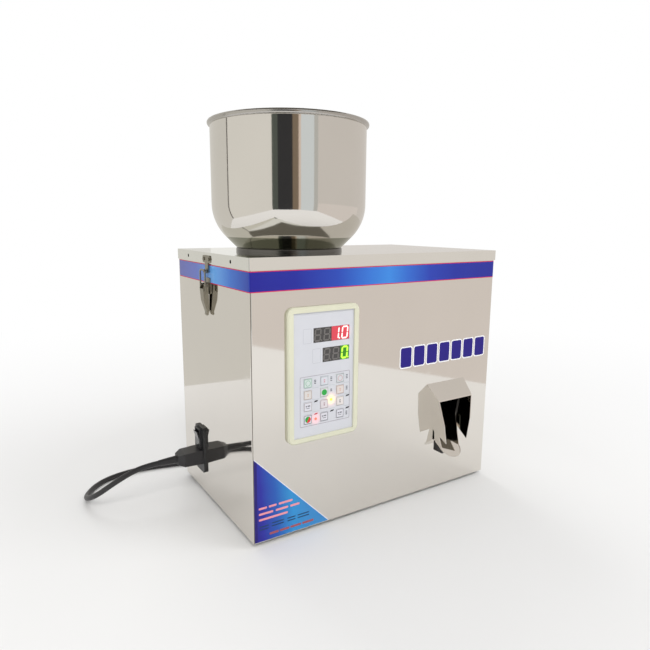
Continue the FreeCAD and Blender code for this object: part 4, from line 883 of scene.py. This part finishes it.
class FILLER_OT_print_panel(bpy.types.Operator):
    """Finish the key panel: moulded frame, film, key grid, frames, plain marks and slots"""
    bl_idname = "filler.print_panel"
    bl_label = "Print the key panel"

    def execute(self, context):
        panel = context.scene.filler_panel
        cream = moulded("cream_moulding", tuple(panel.bezel), 0.34, coat_weight=0.15, coat_roughness=0.2)
        coat(cream, "panel_bezel")
        coat(self.glowing_film("overlay_film", tuple(panel.film)), "panel_overlay")
        self.print_grid()
        self.print_labels()
        for number in range(1, len(KEY_COLUMNS) * len(KEY_ROWS) + 1):
            self.print_key(number)
        return {"FINISHED"}

    @staticmethod
    def glowing_film(name, colour):
        """Pale film with the soft halos that the two lamps and the red readout throw through it."""
        paint = Paint(name)
        x, _, z, vector = paint.place()
        mottle = paint.noise(vector, 60.0, 3.0)
        base = paint.varied(mottle, colour, 0.965, 1.02)
        glow = (0.0, 0.0, 0.0)
        halos = ((middle_of("lamp_yellow"), 0.0135, 1.0, srgb(250, 150, 110)),
                 (middle_of("lamp_yellow"), 0.0080, 3.0, srgb(255, 222, 70)),
                 (middle_of("lamp_red"), 0.0105, 1.1, srgb(255, 66, 78)),
                 (digit_place("display_upper", 3), 0.0125, 0.85, srgb(235, 60, 90)))
        for (px, pz), reach, strength, tint in halos:
            away = ((x - px) * (x - px) + (z - pz) * (z - pz)).root()
            share = (1.0 - away / reach).clipped()
            glow = paint.mix((share * share * strength).clipped(), glow, tint)
        return paint.surface(
            base_color=base, roughness=mottle * 0.06 + 0.3, coat_weight=0.2, coat_roughness=0.25,
            emission_color=glow, emission_strength=1.0)

    @staticmethod
    def print_grid():
        """Thin frame round the keys and the short rules between their rows."""
        left, right, foot, top, line = -0.1300, -0.0600, 0.1315, 0.1922, 0.00042
        cx, cz, wide, tall = (left + right) / 2, (foot + top) / 2, right - left, top - foot
        outer = rounded(cx, cz, wide, tall, 0.0016, 3)
        inner = rounded(cx, cz, wide - 2 * line, tall - 2 * line, 0.0012, 3)
        film_ring("grid_frame", OVERLAY, outer, inner, "case", printed("grid_ink", srgb(150, 140, 152)))
        rules = []
        for row, below in zip(KEY_ROWS, KEY_ROWS[1:]):
            v = (row + below) / 2 + 0.0002
            for column in KEY_COLUMNS:
                start = column + KEY_HALF + 0.0008
                end = min(start + 0.0098, right)
                rules.append([(start, v), (end, v), (end, v + line * 0.8), (start, v + line * 0.8)])
        films("grid_rules", OVERLAY, rules, "case", printed("rule_ink", srgb(176, 186, 190)))

    @staticmethod
    def print_labels():
        """Plain bars beside the keys, and the small slanted slots above some of them."""
        captions = (        # key row, key column, and each bar's rise above the key's middle, in mm
            (0, 0, (2.4, 0.6, -1.4)), (0, 1, (3.0, 1.2, -1.2)), (0, 2, (2.8, 0.8, -1.2)),
            (1, 1, (2.2, 0.2)), (1, 2, (2.4, 0.6, -1.2)), (3, 2, (0.6, -1.2, -3.0)))
        bars = []
        for row, column, rises in captions:
            cx = KEY_COLUMNS[column] + 0.0099
            bars += [rounded(cx, KEY_ROWS[row] + rise * MM, 0.0026, 0.0011, 0.0003, 1) for rise in rises]
        films("key_captions", OVERLAY, bars, "case", printed("caption_ink", srgb(112, 116, 124)))
        aside, above = 0.0112, 0.0052
        slots = [slanted(KEY_COLUMNS[column] + aside, KEY_ROWS[row] + above, 0.0045, 0.0023)
                 for row, column in ((2, 0), (2, 2), (3, 1), (3, 2))]
        films("slot_marks", OVERLAY, slots, "case", printed("slot_ink", srgb(42, 44, 48)))
        red = slanted(KEY_COLUMNS[0] + aside, KEY_ROWS[3] + above, 0.0042, 0.0020)
        films("red_slot", OVERLAY, [red], "case", printed("red_slot_ink", srgb(200, 60, 72)))

    @staticmethod
    def print_key(number):
        """One key's film, its thin frame and the plain mark in its middle."""
        node = f"key_{number}"
        row, column = divmod(number - 1, len(KEY_COLUMNS))
        cx, cz, wall = KEY_COLUMNS[column], KEY_ROWS[row], front_of(node)
        film, edge, mark = (srgb(*tint) for tint in KEY_TINTS.get(number, PLAIN_KEY))
        coat(moulded(f"{node}_film", film, 0.3, depth=0.000008), node)
        outside, inside = 2 * KEY_HALF - 0.0004, 2 * KEY_HALF - 0.0013
        outer = rounded(cx, cz, outside, outside, 0.0009, 2)
        inner = rounded(cx, cz, inside, inside, 0.0006, 2)
        film_ring(f"{node}_rim", wall, outer, inner, node, printed(f"{node}_edge", edge))
        if number in (1, 3):
            ring = circle(cx, cz, 0.0034), circle(cx, cz, 0.0029)
            film_ring(f"{node}_circle", wall, *ring, node, printed(f"{node}_ring", mark))
        elif number == 5:
            films("green_dot", wall, [circle(cx, cz, 0.0036)], node, printed("green_ink", mark))
        elif number == 10:
            for name, start, tint in (("green_half", 62, (48, 158, 72)), ("red_half", 242, (214, 58, 58))):
                half = half_disc(cx, cz, 0.0038, start)
                films(name, wall, [half], node, printed(f"{name}_ink", srgb(*tint)))
        else:               # bars as right, up, width and height from the key's middle, in mm
            sparse = ((0, 1.1, 2.2, 1.2), (0, -1.1, 1.6, 2.0))
            full = ((-2.1, 0.8, 1.8, 1.4), (1.2, 1.0, 3.2, 1.3), (0, -1.6, 4.8, 0.6))
            bars = [rounded(cx + u * MM, cz + v * MM, w * MM, h * MM, min(0.3, h / 3) * MM, 1)
                    for u, v, w, h in (sparse if number < 10 and number != 7 else full)]
            films(f"{node}_mark", wall, bars, node, printed(f"{node}_ink", mark))


class FILLER_OT_light_digits(bpy.types.Operator):
    """Lay the seven-bar figures on the two readouts and light the lamps"""
    bl_idname = "filler.light_digits"
    bl_label = "Light the readouts"

    def execute(self, context):
        panel = context.scene.filler_panel
        smoked = moulded("smoked_window", srgb(58, 57, 57), 0.16, depth=0.000004,
                         coat_weight=0.5, coat_roughness=0.1)
        coat(smoked, "display_upper", "display_lower")
        core, ground = (1.0, 0.86, 0.82), srgb(196, 60, 74)
        self.figures("upper", "  1.0", panel.digit_height, tuple(panel.red), core, ground)
        core, ground = srgb(198, 255, 70), srgb(48, 120, 12)
        self.figures("lower", "  0.", panel.digit_height, tuple(panel.green), core, ground)
        coat(lit("yellow_lamp", srgb(255, 236, 74), 1.25), "lamp_yellow")
        coat(lit("red_lamp", srgb(255, 120, 96), 1.1), "lamp_red")
        self.outline_blank_cells()
        return {"FINISHED"}

    @staticmethod
    def figures(label, text, height, rim, core, ground):
        """Unlit bars, lit grounds, halos and lit bars of one readout."""
        node = f"display_{label}"
        wall = front_of(node)
        shown = {"1": "bc", "0": "abcdef", " ": ""}
        points = [i - 1 for i, mark in enumerate(text) if mark == "."]
        middle, tall = middle_of(node)[1] - CASE_Z, high(node).z - low(node).z
        dark, edge, hot, grounds = [], [], [], []
        for n, mark in enumerate(text.replace(".", "")):
            cx = digit_place(node, n)[0]
            bars, wide = seven_bars(cx, middle, height), seven_bars(cx, middle, height, 1.9)
            dot = circle(cx + 0.0049, middle - height * 0.47, 0.0009, 10)
            if shown[mark]:
                hot += [bars[name] for name in shown[mark]]
                edge += [wide[name] for name in shown[mark]]
                grounds.append(rounded(cx, middle, DIGIT_PITCH - 0.0003, tall - 0.0006, 0.0004, 1))
            else:
                dark += [*bars.values(), dot]
            if n in points:
                hot.append(dot)
        for part, outlines, material, top in (
            ("grounds", grounds, lit(f"{label}_ground_light", ground, 1.0), 0.00008),
            ("unlit", dark, printed(f"{label}_unlit_bars", srgb(112, 109, 107)), 0.00012),
            ("halo", edge, lit(f"{label}_halo_light", rim, 0.85), 0.00012),
            ("figures", hot, lit(f"{label}_figure_light", core, 1.25), 0.00018),
        ):
            films(f"{label}_{part}", wall, outlines, "case", material, top=top)

    @staticmethod
    def outline_blank_cells():
        """Faint outline of the blank cell beside each readout, pressed into the film, drawn in a darker tone
        as painted shade in the pressed line.
        """
        ink = printed("blank_cell_painted_shade", srgb(184, 186, 194))
        for name in ("upper", "lower"):
            node = f"display_{name}"
            middle, tall = middle_of(node)[1] - CASE_Z, high(node).z - low(node).z
            cx = low(node).x - DIGIT_PITCH * 0.66
            outer = rounded(cx, middle, 0.0112, tall, 0.0014, 3)
            inner = rounded(cx, middle, 0.0103, tall - 0.0009, 0.001, 3)
            film_ring(f"blank_cell_{name}", OVERLAY, outer, inner, "case", ink, top=FILM / 3)


class FILLER_OT_lay_lead(bpy.types.Operator):
    """Lay the mains lead on its route and wind the rest of it behind the case"""
    bl_idname = "filler.lay_lead"
    bl_label = "Lay the mains lead"

    def execute(self, context):
        lead = context.scene.filler_lead
        rubber = moulded("black_rubber", srgb(38, 37, 39), 0.4, 900.0, 0.00001)
        route = [placed(*point) for point in LEAD_ROUTE] + self.coil(lead)
        curve = bpy.data.curves.new("mains_lead", "CURVE")
        curve.dimensions = "3D"
        curve.bevel_depth = lead.diameter / 2
        curve.bevel_resolution = 4
        curve.resolution_u = 8
        curve.use_fill_caps = True
        spline = curve.splines.new("NURBS")
        spline.points.add(len(route) - 1)
        for point, place in zip(spline.points, route):
            point.co = (*place, 1.0)
        spline.order_u = 3
        spline.use_endpoint_u = True
        cord = bpy.data.objects.new("mains_lead", curve)
        context.scene.collection.objects.link(cord)
        curve.materials.append(rubber)
        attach(cord, "case")
        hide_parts("power_cord", "cord_coil")
        coat(rubber, "cord_connector", "mains_plug")
        return {"FINISHED"}

    @staticmethod
    def coil(lead):
        """Outer turn, inner turn, one above each, then a last quarter on top that leaves for the plug."""
        outer, inner = 41.5, 34.5               # radii of the turns, in mm as the route
        first, second, third = 3.5, 10.5, 17.2  # heights of the layers
        levels = [(outer, first), (inner, first), (inner, second), (outer, second), (outer, third)]
        turns, step_over = 4, 0.24              # the last share of a turn steps over to the next one
        ease = 1 / math.cos(math.pi / lead.turn_points)
        points = []
        for n in range(1, turns * lead.turn_points + lead.turn_points // 4 + 1):
            turn, step = divmod(n, lead.turn_points)
            share = max(0.0, (step / lead.turn_points - 1 + step_over) / step_over) if turn < turns else 0.0
            (r0, z0), (r1, z1) = levels[turn], levels[min(turn + 1, turns)]
            reach, height = (r0 + (r1 - r0) * share) * ease, z0 + (z1 - z0) * share
            angle = 2 * math.pi * n / lead.turn_points - math.pi / 2
            points.append(placed(COIL_X + reach * math.cos(angle), COIL_Y + reach * math.sin(angle), height))
        tail = ((10.0, 15.8), (18.0, 11.6), (24.0, second), (26.0, second))
        return points + [placed(COIL_X + outer, COIL_Y + back, height) for back, height in tail]


class FILLER_OT_finish_mechanism(bpy.types.Operator):
    """Finish the parts inside the case and at its back, foot and left end"""
    bl_idname = "filler.finish_mechanism"
    bl_label = "Finish the mechanism"

    def execute(self, context):
        steel = context.scene.filler_steel
        coat(spun_steel("tube_steel", tuple(steel.bowl), 0.14), "auger_housing", "auger_screw")
        coat(moulded("black_moulding", srgb(36, 36, 38), 0.38),
             "bag_sensor", "power_inlet", "fan_frame", "flap_servo")
        coat(moulded("fan_moulding", srgb(44, 45, 48), 0.32, coat_weight=0.1), "fan_rotor")
        coat(moulded("rocker_moulding", srgb(28, 28, 30), 0.24, 500.0, coat_weight=0.3), "power_rocker")
        coat(moulded("foot_rubber", srgb(46, 45, 45), 0.62, 500.0, 0.00004), "rubber_feet")
        coat(moulded("cut_nylon", srgb(236, 234, 222), 0.3, 320.0, subsurface_weight=0.15),
             "auger_wheel", "drive_pinion")
        coat(plated_steel("zinc_plate", (0.60, 0.60, 0.59), 0.24), "gear_motor", "power_supply")
        coat(plated_steel("turned_brass", (0.62, 0.43, 0.17), 0.18), "shaft_bushes")
        coat(plated_steel("anodised", (0.66, 0.67, 0.69), 0.34), "load_cell")
        coat(self.circuit_board(), "control_board")
        return {"FINISHED"}

    @staticmethod
    def circuit_board():
        """Green solder mask with faint copper runs under it and solder points on a grid."""
        paint = Paint("solder_mask")
        vector = paint.position()
        runs = paint.noise(paint.stretched(vector, (260.0, 260.0, 40.0)), 1.0, 1.0)
        traces = ((abs(runs - 0.5) * -40.0) + 1.2).clipped()
        grid = paint.node("ShaderNodeTexVoronoi", {"feature": "F1"},
                          {"Vector": vector, "Scale": 260.0, "Randomness": 0.35})
        pads = grid < 0.16
        mask = paint.mix(traces, srgb(16, 92, 48), srgb(30, 124, 66))
        colour = paint.mix(pads, mask, srgb(190, 192, 188))
        return paint.surface(base_color=colour, metallic=pads * 0.8, roughness=traces * 0.1 + 0.3,
                             normal=paint.bump(traces, 0.00003, 0.4), coat_weight=0.3)


class FILLER_OT_set_stage(bpy.types.Operator):
    """Set the floor, the pale cards that the steel mirrors, the lights and the camera"""
    bl_idname = "filler.set_stage"
    bl_label = "Set the stage"

    def execute(self, context):
        stage = context.scene.filler_stage
        self.build_world(stage)
        self.lay_floor(tuple(stage.floor))
        self.stand_cards(tuple(stage.wall))
        ceiling = card_material("ceiling", srgb(112, 108, 100))
        mirrored_only(sheet_of("ceiling", level_square(1.1, 1.7), ceiling))
        self.hang_lights(stage)
        self.place_camera()
        context.scene.view_settings.view_transform = "Standard"
        return {"FINISHED"}

    @staticmethod
    def build_world(stage):
        """White seen directly and in the steel, softer light from all round."""
        world = bpy.data.worlds.new("studio")
        bpy.context.scene.world = world
        sky = Tree(world)
        rays = sky.node("ShaderNodeLightPath")
        seen = rays.other("Is Camera Ray").larger(rays.other("Is Glossy Ray"))
        seen = seen.larger(rays.other("Is Transmission Ray"))
        warm, white = (1.0, 0.985, 0.965), (1.0, 1.0, 1.0)
        soft = sky.node("ShaderNodeBackground", {}, {"Color": rgba(warm), "Strength": stage.sky})
        clear = sky.node("ShaderNodeBackground", {}, {"Color": rgba(white)})
        blend = sky.node("ShaderNodeMixShader", {}, [seen, soft, clear])
        sky.node("ShaderNodeOutputWorld", {}, [blend])

    @staticmethod
    def lay_floor(colour):
        """Matt floor that runs out into white all round."""
        paint = Paint("floor_paint")
        x, y, _, vector = paint.place()
        drift = paint.noise(vector, 1.4, 2.0)
        tone = paint.varied(drift, colour, 0.985, 1.01)
        matt = paint.node("ShaderNodeBsdfDiffuse", {}, {"Color": tone})
        white = paint.node("ShaderNodeEmission", {}, {"Color": (1.0, 1.0, 1.0, 1.0)})
        near, far = 0.42, 1.5
        share = (((x * x + y * y).root() - near) / (far - near)).clipped()
        blend = paint.node("ShaderNodeMixShader", {}, [share * (2.0 - share), matt, white])
        paint.node("ShaderNodeOutputMaterial", {}, [blend])
        sheet_of("floor", level_square(12.0, 0.0), paint.material)

    @staticmethod
    def stand_cards(wall):
        """Upright cards in a closed run that only the steel mirrors, with a lower one in front."""
        low_top, high_top = 0.36, 1.3
        start = CARD_RUN[-1][2]
        runs = [("front_card", wall, start, CARD_RUN[0][2], 0.0, low_top)]
        for name, tone, end in CARD_RUN:
            runs.append((name, srgb(*tone), start, end, 0.0 if len(runs) > 1 else low_top, high_top))
            start = end
        for name, tone, near, far, foot, top in runs:
            corners = [(*near, foot), (*far, foot), (*far, top), (*near, top)]
            mirrored_only(sheet_of(name, corners, card_material(name, tone)))

    @staticmethod
    def hang_lights(stage):
        for name, place, size, power, colour in (
            ("key_light", (-1.3, -2.2, 2.4), 1.6, stage.key, (1.0, 0.98, 0.95)),
            ("fill_light", (1.8, -1.8, 2.0), 1.8, stage.fill, (0.97, 0.985, 1.0)),
            ("back_light", (0.2, 2.0, 2.2), 1.6, stage.back, (1.0, 1.0, 1.0)),
        ):
            light = bpy.data.lights.new(name, "AREA")
            light.shape, light.size, light.energy, light.color = "DISK", size, power, colour
            lamp = bpy.data.objects.new(name, light)
            lamp.location = place
            lamp.rotation_euler = (Vector((0, 0, 0.2)) - Vector(place)).to_track_quat("-Z", "Y").to_euler()
            lamp.visible_glossy = False
            bpy.context.scene.collection.objects.link(lamp)

    @staticmethod
    def place_camera():
        """Camera a little above the lid, looking at the front from its left."""
        data = bpy.data.cameras.new("camera")
        data.sensor_width, data.lens = 36.0, 30.88
        data.clip_start, data.clip_end = 0.05, 60.0
        camera = bpy.data.objects.new("camera", data)
        stand = Vector((-0.44067, MIDDLE_Y - 0.65475, CASE_Z + 0.36823))
        turn, tilt, roll = (math.radians(angle) for angle in (-32.684, 90 - 10.423, 0.408))
        aim = Matrix.Rotation(turn, 4, "Z") @ Matrix.Rotation(tilt, 4, "X") @ Matrix.Rotation(roll, 4, "Z")
        camera.matrix_world = Matrix.Translation(stand) @ aim
        bpy.context.scene.collection.objects.link(camera)
        bpy.context.scene.camera = camera


# ---------------------------------------------------------------- add-on
class FILLER_PT_panel(bpy.types.Panel):
    """Steps that dress the filler, in order, and their settings"""
    bl_idname = "FILLER_PT_panel"
    bl_label = "Filler"
    bl_space_type = "VIEW_3D"
    bl_region_type = "UI"
    bl_category = "Filler"

    def draw(self, context):
        for step, name in STEPS:
            self.layout.operator(step.bl_idname)
            if name:
                group = getattr(context.scene, name)
                for key in group.bl_rna.properties.keys():
                    if key not in ("rna_type", "name"):
                        self.layout.prop(group, key)


STEPS = (
    (FILLER_OT_set_stage, "filler_stage"),
    (FILLER_OT_lay_lead, "filler_lead"),
    (FILLER_OT_polish_steel, "filler_steel"),
    (FILLER_OT_spin_hopper, "filler_bowl"),
    (FILLER_OT_print_band, "filler_print"),
    (FILLER_OT_print_label, None),
    (FILLER_OT_print_sign, "filler_sign"),
    (FILLER_OT_print_panel, "filler_panel"),
    (FILLER_OT_light_digits, None),
    (FILLER_OT_finish_mechanism, None),
)
GROUPS = {
    "filler_steel": SteelSettings, "filler_bowl": BowlSettings, "filler_print": PrintSettings,
    "filler_sign": SignSettings, "filler_panel": PanelSettings, "filler_lead": LeadSettings,
    "filler_stage": StageSettings,
}
CLASSES = (*GROUPS.values(), *(step for step, _ in STEPS), FILLER_PT_panel)


def register():
    for item in CLASSES:
        bpy.utils.register_class(item)
    for name, group in GROUPS.items():
        setattr(bpy.types.Scene, name, PointerProperty(type=group))


def unregister():
    for name in GROUPS:
        delattr(bpy.types.Scene, name)
    for item in reversed(CLASSES):
        bpy.utils.unregister_class(item)


def main():
    register()
    for step, _ in STEPS:
        group, name = step.bl_idname.split(".")
        getattr(getattr(bpy.ops, group), name)()


if __name__ == "__main__":
    main()
